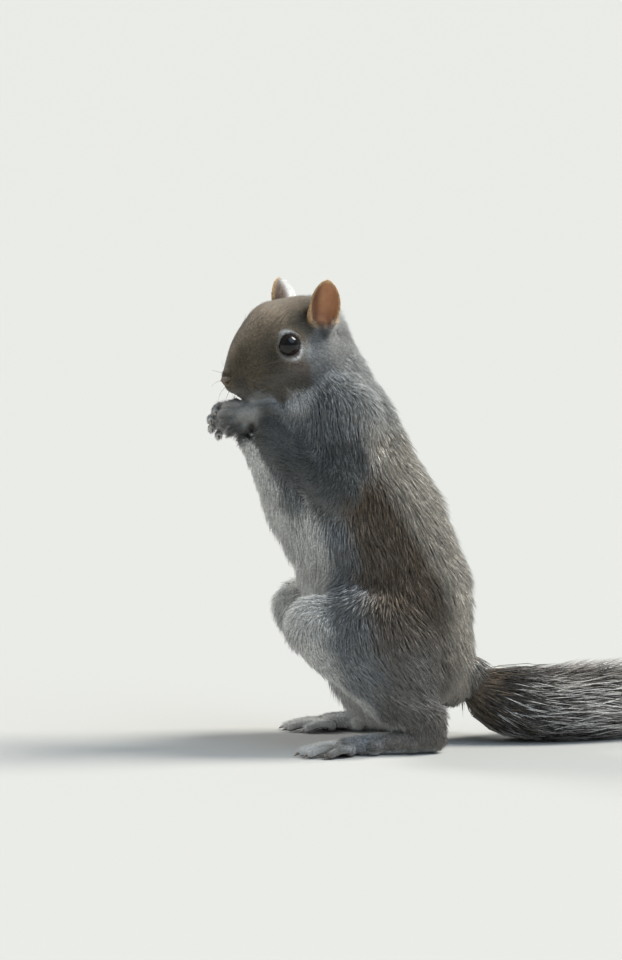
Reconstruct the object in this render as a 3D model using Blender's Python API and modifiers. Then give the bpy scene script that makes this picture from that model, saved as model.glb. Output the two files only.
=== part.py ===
"""A grey squirrel sitting up on its haunches with its forepaws at its mouth, as a still, life-size model.

The animal faces -Y with its left side at +X, and rests on the plane Z = 0. Sizes are in millimetres,
out to the tips of the coat, and become metres as each mesh is made. Every mass of the body is an
ellipsoid, or the hull of two. The masses are fused and smoothed into one body, and claims then divide
it into named pieces with a thin gap between neighbours.
"""

import math
from collections import namedtuple

import bmesh
import bpy
from mathutils import Matrix, Vector

# Driving dimensions, in millimetres and degrees.
MM = 0.001
GAP = 0.3
BODY_VOXEL = 1.4
PAW_VOXEL = 0.5
FLATNESS = 2.5
KEPT = 0.75
EAR_LENGTH = 22.5
EAR_WIDTH = 13.5
EAR_DEPTH = 5.0
EAR_THICKNESS = 1.3
EYE_RADIUS = 5.2
TAIL_LENGTH = 185.0
TAIL_TURN = 75.0
TAIL_ROOT = (0.0, -34.0, 27.0)
HEAD_CENTRE = (0.0, 38.5, 166.5)
HEAD_YAW = 24.0
HEAD_PITCH = 14.0
HEAD_TILT = 5.0
PAW_YAW = 3.0
PAW_TILT = 76.0
PAW_LIFT = 8.0
FOOT_YAW = 9.0
SIDES = {"left": 1, "right": -1}

# About how many triangles each kind of solid keeps; the head's are cut from a finer whole.
TRIANGLES = {"body": 1400, "whole": 4100, "forepaw": 290, "hind_foot": 300, "tail": 330}

# A mass: its centre and half sizes, each along the side, forward and up, then its nose-up pitch.
Mass = namedtuple("Mass", "side forward up half_width half_length half_height pitch", defaults=(0.0,))

SPINE = (
    Mass(0, 22, 152, 16, 22, 17),
    Mass(0, 18.7, 136, 20, 28.3, 22),
    Mass(0, 15.2, 117, 23.5, 33.8, 25),
    Mass(0, 4.5, 96, 30, 35, 28),
    Mass(0, -7, 64, 35, 35.5, 31),
    Mass(0, -12, 36, 35, 32, 30),
)
BREAST = Mass(0, 42, 125.5, 13, 14.5, 16)
CRANIUM = Mass(0, -13, 0, 16.5, 18, 14.5)
BROW = Mass(0, 0, 3, 15, 13, 12.5)
SNOUT = Mass(0, 12.5, -4.8, 10.5, 9.5, 11.3)
MUZZLE = Mass(0, 21, -11, 7.5, 6.5, 6.8)
THROAT = Mass(0, -13, -11, 15.5, 15, 12)
JAW = Mass(0, 6, -15.5, 9.5, 12, 8.5)
CHIN = Mass(0, 17, -18, 5.2, 4.8, 4.0)
CHEEK = Mass(9, -1, -9.5, 9, 15, 10)
SOCKET = Mass(10.8, 1, -2, 5.0, 8, 7.6)
EYE = Mass(12.6, 1.8, -2.6, EYE_RADIUS, EYE_RADIUS, EYE_RADIUS)
NOSE = Mass(0, 25.9, -9.6, 2.8, 2.0, 2.1)
NECK_ROOT = Mass(0, -17, -7, 16, 17, 15)

SHOULDER = Mass(16, 11, 136, 12.5, 16, 17)
ELBOW = Mass(26, 15, 108, 9, 11, 10.5)
WRIST = Mass(9, 45, 130, 5.8, 6.5, 6.8)
THIGH = Mass(29, 3, 46, 17, 31, 25, 18)
HAM = Mass(31, -8, 27, 13, 20, 19)
KNEE = Mass(32, 25, 52, 11.5, 14, 14)
ANKLE = Mass(33, -19, 13, 8.5, 10, 10)

# The forepaw points forward from the wrist with its back up, and the hind foot from the heel.
PALM = (Mass(0, 0, 0, 6, 5, 4.6), Mass(0, 8, 0, 7, 5.5, 3.8))
PAW_PADS = (Mass(-3, 0.5, -3.2, 2, 2.4, 1.6), Mass(3, 0.5, -3.2, 2, 2.4, 1.6))
SOLE = (Mass(0, 0, 4.8, 6.2, 7, 5.4), Mass(0, 24, 4.4, 6.6, 8, 5), Mass(0, 38, 3.6, 8.6, 6, 4.2))

# A digit: where its root stands to the side and forward, how far forward its tip is, and its splay.
FINGERS = ((-5.7, 10, 16, -8), (-2, 11.5, 18.5, -3), (2, 11.5, 18.5, 3), (5.7, 10, 16, 8))
TOES = ((-7.2, 37, 46.5, -16), (-3.9, 41, 54, -8), (0, 42, 56, 0), (3.9, 41, 54, 8), (7.2, 37, 46.5, 16))

# Each kind of extremity: voxel-sized digits' radius, how far their tips drop, and their root's height.
FINGER = {"radius": 1.45, "drop": -4.2, "root": 0.6, "claw": 2.4}
TOE = {"radius": 1.9, "drop": -1.3, "root": 3.2, "claw": 3.0}

# What each piece of a leg claims from the body: two masses, and how far out from them it reaches.
LIMB_CLAIMS = {
    "forearm": (ELBOW, WRIST, 2.0),
    "upper_arm": (SHOULDER, ELBOW, 3.0),
    "shank": (KNEE, ANKLE, 2.2),
    "thigh": (THIGH, HAM, 4.0),
}

# Where the trunk is parted below each of its pieces, and at what pitch.
TRUNK_CLAIMS = {
    "neck": ((0, 24, 143), 62),
    "chest": ((0, 12, 110), 64),
    "belly": ((0, -3, 72), 76),
}

# The tail's half width and half height at even steps from its root to its tip.
TAIL_BUSH = ((11, 12), (19, 17), (26, 18), (30, 18), (32, 17), (32, 16), (30, 14), (26, 12), (19, 9), (9, 6))

COLOURS = {
    "coat": (0.25, 0.2, 0.15),
    "eye": (0.01, 0.008, 0.007),
    "nose": (0.09, 0.06, 0.055),
    "claw": (0.08, 0.065, 0.055),
    "ear": (0.5, 0.27, 0.19),
}


def place(side, forward, up):
    """A point of the model from the animal's own directions."""
    return Vector((side, -forward, up)) * MM


def turn(yaw=0.0, pitch=0.0, tilt=0.0):
    """A turn to the left, then nose down, then left side up, in degrees."""
    around_z = Matrix.Rotation(math.radians(yaw), 4, "Z")
    around_x = Matrix.Rotation(math.radians(pitch), 4, "X")
    return around_z @ around_x @ Matrix.Rotation(math.radians(-tilt), 4, "Y")


def mirrored(mass, side):
    """A mass on the left side, or its mirror image on the right."""
    return mass._replace(side=mass.side * side)


def ellipsoid_points(mass, grow=0.0, segments=20):
    """The vertices of a mass, made larger all round by grow."""
    ball = bmesh.new()
    bmesh.ops.create_uvsphere(ball, u_segments=segments, v_segments=segments // 2, radius=1)
    half = [(size + grow) * MM for size in (mass.half_width, mass.half_length, mass.half_height)]
    centre = Matrix.Translation(place(mass.side, mass.forward, mass.up))
    points = [centre @ turn(pitch=-mass.pitch) @ Matrix.Diagonal((*half, 1)) @ v.co for v in ball.verts]
    ball.free()
    return points


def hull(points):
    """A bmesh that is the convex hull of some points."""
    shape = bmesh.new()
    for point in points:
        shape.verts.new(point)
    made = bmesh.ops.convex_hull(shape, input=shape.verts)
    unused = set(made["geom_interior"] + made["geom_unused"])
    inner = [item for item in unused if isinstance(item, bmesh.types.BMVert)]
    bmesh.ops.delete(shape, geom=inner, context="VERTS")
    bmesh.ops.recalc_face_normals(shape, faces=shape.faces)
    return shape


def hull_of(*masses, frame=None, grow=0.0, segments=20):
    """The hull of some masses, moved by a frame."""
    points = [point for mass in masses for point in ellipsoid_points(mass, grow, segments)]
    return hull([frame @ point for point in points] if frame else points)


def chain(masses, frame=None):
    """The hulls of each mass with the next one."""
    return [hull_of(first, second, frame=frame) for first, second in zip(masses, masses[1:])]


def gather(name, shapes):
    """One object that holds several shapes."""
    whole = bmesh.new()
    for shape in shapes:
        mesh = bpy.data.meshes.new(name)
        shape.to_mesh(mesh)
        shape.free()
        whole.from_mesh(mesh)
        bpy.data.meshes.remove(mesh)
    mesh = bpy.data.meshes.new(name)
    whole.to_mesh(mesh)
    whole.free()
    item = bpy.data.objects.new(name, mesh)
    squirrel.objects.link(item)
    return item


def settle(item):
    """Makes an object's modifiers part of its mesh."""
    graph = bpy.context.evaluated_depsgraph_get()
    mesh = bpy.data.meshes.new_from_object(item.evaluated_get(graph))
    item.modifiers.clear()
    item.data = mesh


def fuse(item, voxel, smoothing):
    """Fuses the shapes in an object into one smooth body."""
    remesh = item.modifiers.new("fuse", "REMESH")
    remesh.mode = "VOXEL"
    remesh.voxel_size = voxel * MM
    smooth = item.modifiers.new("smooth", "SMOOTH")
    smooth.factor = 0.5
    smooth.iterations = smoothing
    settle(item)


def thin(item, triangles):
    """Reduces an object to about so many triangles."""
    fewer = item.modifiers.new("fewer", "DECIMATE")
    fewer.ratio = min(1.0, triangles / sum(len(face.vertices) - 2 for face in item.data.polygons))
    settle(item)


def cut(item, other, operation):
    """Takes another object from an object, or keeps what they share, and drops the other one."""
    boolean = item.modifiers.new("cut", "BOOLEAN")
    boolean.operation = operation
    boolean.object = other
    settle(item)
    bpy.data.objects.remove(other)


def keep_largest(item):
    """Keeps only the largest loose part of an object."""
    shape = bmesh.new()
    shape.from_mesh(item.data)
    unseen = set(shape.verts)
    parts = []
    while unseen:
        part = {unseen.pop()}
        edge = list(part)
        while edge:
            near = {link.other_vert(v) for v in edge for link in v.link_edges} & unseen
            unseen -= near
            part |= near
            edge = list(near)
        parts.append(part)
    parts.sort(key=len)
    small = [vertex for part in parts[:-1] for vertex in part]
    bmesh.ops.delete(shape, geom=small, context="VERTS")
    shape.to_mesh(item.data)
    shape.free()


def claim(body, name, shape_of):
    """Divides a piece off a body: shape_of(grow) is the claimed space, made larger by grow."""
    piece = bpy.data.objects.new(name, body.data.copy())
    squirrel.objects.link(piece)
    cut(piece, gather("claim", [shape_of(0.0)]), "INTERSECT")
    cut(body, gather("claim", [shape_of(GAP)]), "DIFFERENCE")
    keep_largest(piece)
    keep_largest(body)
    return piece


def clear_of(item, neighbour):
    """Cuts an object back to leave the gap round its neighbour."""
    grown = bpy.data.objects.new("grown", neighbour.data.copy())
    squirrel.objects.link(grown)
    displace = grown.modifiers.new("grown", "DISPLACE")
    displace.mid_level = 0
    displace.strength = GAP * MM
    settle(grown)
    cut(item, grown, "DIFFERENCE")
    keep_largest(item)


def leave_room(item, masses, frame):
    """Cuts an object back from the hull of some masses."""
    cut(item, gather("claim", [hull_of(*masses, frame=frame, grow=2 * GAP, segments=12)]), "DIFFERENCE")
    keep_largest(item)


def beyond(point, pitch=0.0, yaw=0.0, grow=0.0, reach=300.0):
    """A large box that lies ahead of a point, along the forward direction once turned."""
    box = bmesh.new()
    bmesh.ops.create_cube(box, size=2 * reach * MM)
    frame = Matrix.Translation(place(*point)) @ turn(yaw=yaw, pitch=-pitch)
    bmesh.ops.transform(box, matrix=frame @ Matrix.Translation(place(0, reach - grow, 0)), verts=box.verts)
    return box


def digit_masses(root_side, root_forward, tip_forward, splay, style):
    """The masses of a finger or toe from its root to its tip."""
    radius = style["radius"]
    spread = math.tan(math.radians(splay)) * (tip_forward - root_forward)
    steps = ((0.0, 0.0, 1.08), (0.5, 0.2, 1.0), (1.0, 1.0, 0.95))
    return [
        Mass(
            root_side + spread * along,
            root_forward + (tip_forward - radius - root_forward) * along,
            style["root"] + style["drop"] * drop,
            radius * size,
            radius * size,
            radius * size,
        )
        for along, drop, size in steps
    ]


def make_extremity(name, palm, pads, digits, style, frame, triangles):
    """A forepaw or hind foot in one piece with its digits, and each of its claws."""
    shapes = chain(palm, frame) + [hull_of(pad, frame=frame) for pad in pads]
    knuckles = palm[-1]
    claws = []
    for number, (side, root, tip, splay) in enumerate(digits, 1):
        masses = digit_masses(side, root, tip, splay, style)
        inner = Mass(side * 0.6, knuckles.forward - 2, style["root"], *[style["radius"]] * 3)
        shapes += chain([inner] + masses, frame)
        claws.append(make_claw(f"{name}_claw_{number}", masses[-1], splay, style["claw"], frame))
    item = gather(name, shapes)
    fuse(item, PAW_VOXEL, 2)
    thin(item, triangles)
    for piece in claws:
        clear_of(piece, item)
    return [item] + claws


def make_claw(name, tip, splay, length, frame):
    """A curved claw that grows out of the end of a digit and points down."""
    slope = math.tan(math.radians(splay))
    start = tip.forward + 0.4
    root = Mass(tip.side, start, tip.up + 0.3, 0.8, 0.9, 1.0)
    middle = Mass(tip.side + slope * length / 2, start + length / 2, tip.up + 0.35, 0.5, 0.5, 0.6)
    end = Mass(tip.side + slope * length, start + length, tip.up - length * 0.3, 0.27, 0.27, 0.27)
    return gather(name, [hull_of(root, middle, end, frame=frame, segments=5)])


def make_ear(name, side, frame):
    """A cupped ear: half of an ellipsoid with a narrowed tip, thickened inwards."""
    cup = bmesh.new()
    bmesh.ops.create_uvsphere(cup, u_segments=14, v_segments=8, radius=1)
    front = [vertex for vertex in cup.verts if vertex.co.y < -0.01]
    bmesh.ops.delete(cup, geom=front, context="VERTS")
    for vertex in cup.verts:
        vertex.co.x *= 1 - 0.25 * max(0.0, vertex.co.z) ** 2
        vertex.co.y *= 1 - 0.3 * vertex.co.z
    half = (EAR_WIDTH / 2 * MM, EAR_DEPTH * MM, EAR_LENGTH / 2 * MM)
    local = Matrix.Translation(place(18 * side, -16.4, 8.6)) @ turn(tilt=-16 * side) @ turn(pitch=-14)
    local = local @ turn(yaw=68 * side) @ Matrix.Diagonal((*half, 1))
    bmesh.ops.transform(cup, matrix=frame @ local, verts=cup.verts)
    item = gather(name, [cup])
    solid = item.modifiers.new("thickness", "SOLIDIFY")
    solid.thickness = EAR_THICKNESS * MM
    solid.offset = -1
    solid.use_even_offset = True
    settle(item)
    return item


def tail_stations():
    """The masses along the tail, which leaves the rump, comes down and curves to one side."""
    side, forward, up = TAIL_ROOT
    stations = []
    step = TAIL_LENGTH / (len(TAIL_BUSH) - 1)
    for number, (half_width, half_height) in enumerate(TAIL_BUSH):
        along = number / (len(TAIL_BUSH) - 1)
        heading = TAIL_TURN * along
        height = max(half_height * 0.86, up * (1 - 4 * along))
        stations.append((Mass(side, forward, height, half_width, half_width * 0.8, half_height), heading))
        heading = math.radians(TAIL_TURN * (along + 0.5 / (len(TAIL_BUSH) - 1)))
        side -= step * math.sin(heading)
        forward -= step * math.cos(heading)
    return stations


def make_tail():
    """The bushy tail on the floor, parted into four lengths."""
    stations = tail_stations()
    shapes = []
    for (first, first_heading), (second, second_heading) in zip(stations, stations[1:]):
        points = []
        for mass, heading in ((first, first_heading), (second, second_heading)):
            centre = place(mass.side, mass.forward, mass.up)
            local = mass._replace(side=0, forward=0, up=0)
            swing = Matrix.Translation(centre) @ turn(yaw=heading)
            points += [swing @ point for point in ellipsoid_points(local)]
        shapes.append(hull(points))
    tail = gather("tail_tip", shapes)
    fuse(tail, BODY_VOXEL, 6)
    thin(tail, TRIANGLES["tail"])
    level(tail)
    lengths = []
    for name, number in (("tail_root", 2.2), ("tail_middle", 4.6), ("tail_end", 6.9)):
        mass, heading = stations[int(number)]
        after, _ = stations[int(number) + 1]
        part = number - int(number)
        point = [a + (b - a) * part for a, b in zip(mass[:3], after[:3])]

        def ahead(grow):
            return beyond(point, yaw=heading, grow=grow)

        lengths.append(claim(tail, name, ahead))
    return lengths + [tail]


def level(item):
    """Cuts an object flat at the floor."""
    floor = bmesh.new()
    bmesh.ops.create_cube(floor, size=0.8)
    bmesh.ops.translate(floor, vec=(0, 0, -0.4), verts=floor.verts)
    cut(item, gather("floor", [floor]), "DIFFERENCE")


def finish(item, slot):
    """Joins the flat parts of an object's surface and gives it its own material."""
    flat = item.modifiers.new("flat", "DECIMATE")
    flat.decimate_type = "DISSOLVE"
    flat.angle_limit = math.radians(FLATNESS)
    settle(item)
    item.data.name = item.name
    item.data.materials.clear()
    material = bpy.data.materials.new(item.name)
    material.use_nodes = True
    shader = material.node_tree.nodes["Principled BSDF"]
    shader.inputs["Base Color"].default_value = (*COLOURS[slot], 1)
    shader.inputs["Roughness"].default_value = 0.25 if slot in ("eye", "nose") else 0.8
    item.data.materials.append(material)


def make_body(skull):
    """The head, neck, trunk and limbs in one smooth body."""
    shapes = chain(SPINE) + [hull_of(SPINE[2], BREAST)]
    neck_root = [skull @ point for point in ellipsoid_points(NECK_ROOT)]
    shapes.append(hull(neck_root + ellipsoid_points(SPINE[0])))
    for side in SIDES.values():
        shapes += chain([mirrored(mass, side) for mass in (THIGH, HAM)])
        shapes += chain([mirrored(mass, side) for mass in (KNEE, ANKLE)])
        shapes += chain([mirrored(mass, side) for mass in (SHOULDER, ELBOW, WRIST)])
        shapes.append(hull_of(mirrored(SOCKET, side), frame=skull))
        whisker_bed = MUZZLE._replace(half_width=5, half_height=4)
        shapes.append(hull_of(mirrored(CHEEK, side), whisker_bed, frame=skull))
    shapes += chain([CRANIUM, BROW, SNOUT, MUZZLE], skull) + chain([THROAT, JAW, CHIN], skull)
    shapes.append(hull_of(CRANIUM, THROAT, frame=skull))
    body = gather("rump", shapes)
    fuse(body, BODY_VOXEL, 8)
    return body


def divide_head(body, skull, ears):
    """The head without the lower jaw, the jaw and the nose pad, fitted round the eyes and ears."""
    head = bpy.data.objects.new("head", body.data.copy())
    squirrel.objects.link(head)
    thin(head, TRIANGLES["whole"])
    cut(head, gather("claim", [head_space(skull, 0.0)]), "INTERSECT")
    keep_largest(head)
    for ear in ears:
        clear_of(ear, head)
    nose = gather("nose", [hull_of(NOSE, frame=skull, segments=10)])
    cut(head, gather("claim", [hull_of(NOSE, frame=skull, grow=GAP, segments=10)]), "DIFFERENCE")
    for side in SIDES.values():
        socket = hull_of(mirrored(EYE, side), frame=skull, grow=GAP, segments=12)
        cut(head, gather("claim", [socket]), "DIFFERENCE")
    jaw = claim(head, "lower_jaw", lambda grow: jaw_space(skull, grow))
    return [head, jaw, nose]


def head_space(skull, grow):
    """The space that the head claims from the body."""
    masses = [CRANIUM, BROW, MUZZLE, THROAT, JAW, CHIN]
    masses += [mirrored(mass, side) for mass in (CHEEK, SOCKET) for side in SIDES.values()]
    return hull_of(*masses, frame=skull, grow=2.5 + grow, segments=10)


def jaw_space(skull, grow):
    """The space that the lower jaw claims from the head, below the line of the mouth."""
    hinge = Mass(0, 0, -21, 8, 6, 5)
    lip = Mass(0, 21, -18.5, 5.5, 7, 3.6)
    return hull_of(hinge, lip, frame=skull, grow=grow, segments=10)


def divide_body(body, skull):
    """The limbs, neck, chest and belly, taken off the body in turn until the rump is left."""
    cut(body, gather("claim", [head_space(skull, GAP)]), "DIFFERENCE")
    keep_largest(body)
    pieces = []
    for name, side in SIDES.items():
        for piece, (first, second, reach) in LIMB_CLAIMS.items():
            masses = [mirrored(first, side), mirrored(second, side)]

            def limb_space(grow):
                return hull_of(*masses, grow=reach + grow, segments=8)

            pieces.append(claim(body, f"{name}_{piece}", limb_space))
    for name, (point, pitch) in TRUNK_CLAIMS.items():
        pieces.append(claim(body, name, lambda grow: beyond(point, pitch=pitch, grow=grow)))
    pieces.append(body)
    for piece in pieces:
        thin(piece, KEPT * sum(len(face.vertices) - 2 for face in piece.data.polygons))
    return pieces


def centre_on_base(items):
    """Moves the meshes so that the origin is at the centre of the base of their bounding box."""
    points = [vertex.co for item in items for vertex in item.data.vertices]
    low = [min(point[axis] for point in points) for axis in range(3)]
    high = [max(point[axis] for point in points) for axis in range(3)]
    shift = Vector((-(low[0] + high[0]) / 2, -(low[1] + high[1]) / 2, -low[2]))
    for item in items:
        item.data.transform(Matrix.Translation(shift))


def main():
    """Builds the squirrel."""
    skull = Matrix.Translation(place(*HEAD_CENTRE)) @ turn(HEAD_YAW, HEAD_PITCH, HEAD_TILT)
    body = make_body(skull)
    ears = [make_ear(f"{name}_ear", side, skull) for name, side in SIDES.items()]
    pieces = ears + divide_head(body, skull, ears)
    thin(body, TRIANGLES["body"])
    flesh = {item.name: item for item in divide_body(body, skull)}
    tail = make_tail()
    clear_of(tail[0], flesh["rump"])
    for name, side in SIDES.items():
        pieces.append(gather(f"{name}_eye", [hull_of(mirrored(EYE, side), frame=skull, segments=12)]))
        wrist = mirrored(WRIST, side)
        frame = Matrix.Translation(place(wrist.side * 0.93, wrist.forward + 2, wrist.up + 2.5))
        frame = frame @ turn(yaw=-PAW_YAW * side, pitch=-PAW_LIFT) @ turn(tilt=-PAW_TILT * side)
        pieces += make_extremity(
            f"{name}_forepaw", PALM, PAW_PADS, FINGERS, FINGER, frame, TRIANGLES["forepaw"])
        for neighbour in (f"{name}_forearm", "neck", "chest"):
            leave_room(flesh[neighbour], PALM + PAW_PADS, frame)
        ankle = mirrored(ANKLE, side)
        frame = Matrix.Translation(place(ankle.side, ankle.forward - 3, 0)) @ turn(yaw=FOOT_YAW * side)
        foot = make_extremity(f"{name}_hind_foot", SOLE, (), TOES, TOE, frame, TRIANGLES["hind_foot"])
        level(foot[0])
        pieces += foot
        for neighbour in (f"{name}_shank", f"{name}_thigh", "rump"):
            leave_room(flesh[neighbour], SOLE[:2], frame)
        clear_of(tail[0], flesh[f"{name}_thigh"])
    pieces += list(flesh.values()) + tail
    centre_on_base(pieces)
    for item in pieces:
        slots = [slot for slot in COLOURS if slot in item.name.split("_")]
        finish(item, slots[0] if slots else "coat")


for leftover in list(bpy.data.objects):
    bpy.data.objects.remove(leftover)
squirrel = bpy.data.collections.new("squirrel")
bpy.context.scene.collection.children.link(squirrel)
main()
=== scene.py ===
"""A grey squirrel sitting up on its haunches: its skin, coat, eyes, ears, nose, claws and whiskers.

Sizes are in millimetres in the animal's own directions (side, forward, up), where side is positive on
its left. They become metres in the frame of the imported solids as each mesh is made.
"""

import logging
import math
from dataclasses import dataclass, field
from enum import Enum
from typing import NamedTuple

import bmesh
import bpy
import numpy as np
from bmesh.types import BMesh
from bpy.types import Material, Mesh, Object, ShaderNodeTree
from bpy.types import NodeSocket as Socket
from mathutils import Matrix, Vector
from mathutils.bvhtree import BVHTree
from mathutils.kdtree import KDTree


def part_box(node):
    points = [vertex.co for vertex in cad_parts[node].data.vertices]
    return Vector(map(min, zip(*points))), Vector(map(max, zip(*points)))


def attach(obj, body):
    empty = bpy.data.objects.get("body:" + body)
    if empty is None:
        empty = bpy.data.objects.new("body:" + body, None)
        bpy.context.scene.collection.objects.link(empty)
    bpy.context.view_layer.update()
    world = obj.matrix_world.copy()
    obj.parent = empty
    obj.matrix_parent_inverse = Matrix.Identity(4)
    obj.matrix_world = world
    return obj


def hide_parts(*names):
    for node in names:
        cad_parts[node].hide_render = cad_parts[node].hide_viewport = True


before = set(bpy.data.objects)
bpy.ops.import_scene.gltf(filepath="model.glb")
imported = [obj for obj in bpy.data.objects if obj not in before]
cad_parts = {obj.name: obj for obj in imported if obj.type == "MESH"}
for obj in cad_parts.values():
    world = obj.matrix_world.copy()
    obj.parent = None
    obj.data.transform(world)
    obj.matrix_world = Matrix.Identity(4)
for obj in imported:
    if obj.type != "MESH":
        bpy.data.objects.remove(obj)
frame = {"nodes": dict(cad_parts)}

log = logging.getLogger("squirrel")

Array = np.ndarray
Values = dict[str, Array]
Pair = tuple[float, float]
Triple = tuple[float, float, float]
Colour = Triple
Rows = tuple[tuple[float, ...], ...]

MM = 0.001
FLIP = np.array((1, -1, 1))
WAVES = 5
WAVE_SPREAD = (0.6, 1.6)
WAVE_SUM = 2.2
SIDES = {"left": 1, "right": -1}
TRUNK = ("head", "lower_jaw", "neck", "chest", "belly", "rump")
LIMBS = ("upper_arm", "forearm", "thigh", "shank")
TAIL = ("tail_root", "tail_middle", "tail_end", "tail_tip")
LIMB_NODES = tuple(f"{side}_{limb}" for side in SIDES for limb in LIMBS)
PAW_NODES = tuple(f"{side}_{paw}" for side in SIDES for paw in ("forepaw", "hind_foot"))
EAR_NODES = tuple(f"{side}_ear" for side in SIDES)
FLESH = TRUNK + LIMB_NODES + PAW_NODES + EAR_NODES + TAIL


class Slot(Enum):
    """The record's material slots."""

    COAT = "coat"
    NOSE = "nose"
    EYES = "eyes"
    CLAWS = "claws"


class Mark(Enum):
    """The markings of the coat, some of them painted light or shade, in the order in which they are laid over
    each other.
    """

    # The back's brownish grey, lightened further as painted sunlit rim light.
    BACK = "mark_back_and_rim_light"
    # A brownish band on the flank, darkened as painted shade.
    FLANK_AND_SHADE = "mark_flank_and_shade"
    # Painted shade on the arms' outer sides, as a darker grey.
    ARM = "mark_arm_shade"
    FACE = "mark_face"
    CROWN = "mark_crown"
    CHEEK = "mark_cheek"
    RUFOUS = "mark_rufous"
    PAW = "mark_paw"
    # Painted shade on the hands' outer sides, as a dark grey.
    HAND = "mark_hand_shade"
    PALE = "mark_pale"
    # Darker patches under the ears and beside the nose, partly dark hair and partly painted shade.
    DARK_HAIR_AND_SHADE = "mark_dark_hair_and_shade"
    # The ears' bare insides: orange-pink skin, lightened as a painted glow of light through them.
    EAR = "mark_ear"
    # Painted shade in the front part of the ears, inside and out.
    SHADE = "mark_shade"
    # The ears' pale rims, tinted warm and bright as a painted glow.
    RIM = "mark_rim_and_glow"
    TAIL = "mark_tail"
    FRINGE = "mark_fringe"
    BARE = "mark_bare"


# ---- small helpers


def place(side: float, forward: float, up: float) -> Vector:
    """A point from the animal's own directions, before it is moved into the frame."""
    return Vector((side, -forward, up)) * MM


def turn(yaw: float = 0.0, pitch: float = 0.0, tilt: float = 0.0) -> Matrix:
    """A turn to the left, then nose down, then left side up, in degrees."""
    around_z = Matrix.Rotation(math.radians(yaw), 4, "Z")
    around_x = Matrix.Rotation(math.radians(pitch), 4, "X")
    return around_z @ around_x @ Matrix.Rotation(math.radians(-tilt), 4, "Y")


def rise(values: Array, low: float, high: float) -> Array:
    """A smooth step from 0 at low to 1 at high, which falls where high is below low."""
    share = np.clip((values - low) / (high - low), 0.0, 1.0)
    return share * share * (3 - 2 * share)


def unit(vectors: Array) -> Array:
    """Vectors scaled to a length of one."""
    return vectors / np.maximum(np.linalg.norm(vectors, axis=-1, keepdims=True), 1e-12)


def ripple(points: Array, wavelength: float, seed: int) -> Array:
    """Smooth vector noise made of a few sine waves in different directions.

    Args:
        points: Positions, in millimetres.
        wavelength: The typical distance between two crests, in millimetres.
        seed: Which noise it is.

    Returns:
        One vector for each point, with parts from about -1 to 1.
    """
    random = np.random.default_rng(seed)
    total = np.zeros_like(points)
    for _ in range(WAVES):
        wave = unit(random.normal(size=(3, 3))) * 2 * math.pi / wavelength * random.uniform(*WAVE_SPREAD)
        total += np.sin(points @ wave.T + random.uniform(0, 2 * math.pi, 3))
    return total / WAVE_SUM


def read(items: bpy.types.bpy_prop_collection, key: str, width: int, kind_of: type = float) -> Array:
    """A property of every item of a collection, such as a mesh's vertices.

    Args:
        items: The collection.
        key: The property's name.
        width: How many numbers it has.
        kind_of: The type of its numbers.

    Returns:
        One row for each item.
    """
    flat = np.empty(len(items) * width, dtype=kind_of)
    items.foreach_get(key, flat)
    return flat.reshape(-1, width)


def positions(mesh: Mesh) -> Array:
    """The vertices of a mesh, in metres."""
    return read(mesh.vertices, "co", 3)


def normals(mesh: Mesh) -> Array:
    """The vertex normals of a mesh."""
    return read(mesh.vertex_normals, "vector", 3)


def edges_of(mesh: Mesh) -> Array:
    """The pairs of vertices that the edges of a mesh join."""
    return read(mesh.edges, "vertices", 2, np.int32)


def set_positions(mesh: Mesh, points: Array) -> None:
    """Moves the vertices of a mesh to new places."""
    mesh.vertices.foreach_set("co", points.ravel())
    mesh.update()


def raw_mesh(name: str, points: Array, corners: Array, starts: Array) -> Mesh:
    """Makes a mesh out of arrays.

    Args:
        name: The mesh's name.
        points: Its vertices.
        corners: The vertices at the corners of its faces, one face after another.
        starts: Where each face's corners start.

    Returns:
        The mesh.
    """
    mesh = bpy.data.meshes.new(name)
    mesh.vertices.add(len(points))
    mesh.vertices.foreach_set("co", points.ravel())
    mesh.loops.add(len(corners))
    mesh.loops.foreach_set("vertex_index", corners.astype(np.int32))
    mesh.polygons.add(len(starts))
    mesh.polygons.foreach_set("loop_start", starts.astype(np.int32))
    mesh.update(calc_edges=True)
    return mesh


def blur(values: Array, edges: Array, rounds: int) -> Array:
    """Evens out values over a surface.

    Args:
        values: One row for each vertex.
        edges: The pairs of joined vertices.
        rounds: How many times each value moves halfway to the mean of its neighbours.

    Returns:
        The evened values.
    """
    count = len(values)
    links = np.bincount(edges.ravel(), minlength=count)
    first, second = edges[:, 0], edges[:, 1]
    for _ in range(rounds):
        mean = np.empty_like(values)
        for column in range(values.shape[1]):
            column_values = values[:, column]
            near = np.bincount(first, weights=column_values[second], minlength=count)
            near += np.bincount(second, weights=column_values[first], minlength=count)
            mean[:, column] = near / np.maximum(links, 1)
        values = 0.5 * values + 0.5 * mean
    return values


def nearness(points: Array, centre: tuple[float, ...], outer: float, inner: float) -> Array:
    """How near points are to a place, from 0 at the outer distance to 1 at the inner one."""
    return rise(np.linalg.norm(points - np.array(centre), axis=1), outer, inner)


def toward(rows: Array, aim: tuple[float, ...], share: Array) -> Array:
    """Rows moved to one aim, each by its own share of the way."""
    return rows * (1 - share[:, None]) + np.array(aim) * share[:, None]


def link(name: str, data: bpy.types.ID) -> Object:
    """A new object at the origin that shows a mesh, curve, light or camera."""
    item = bpy.data.objects.new(name, data)
    bpy.context.scene.collection.objects.link(item)
    return item


def as_object(name: str, shape: BMesh) -> Object:
    """A new object with the faces of a bmesh, which is then freed."""
    mesh = bpy.data.meshes.new(name)
    shape.to_mesh(mesh)
    shape.free()
    return link(name, mesh)


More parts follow.
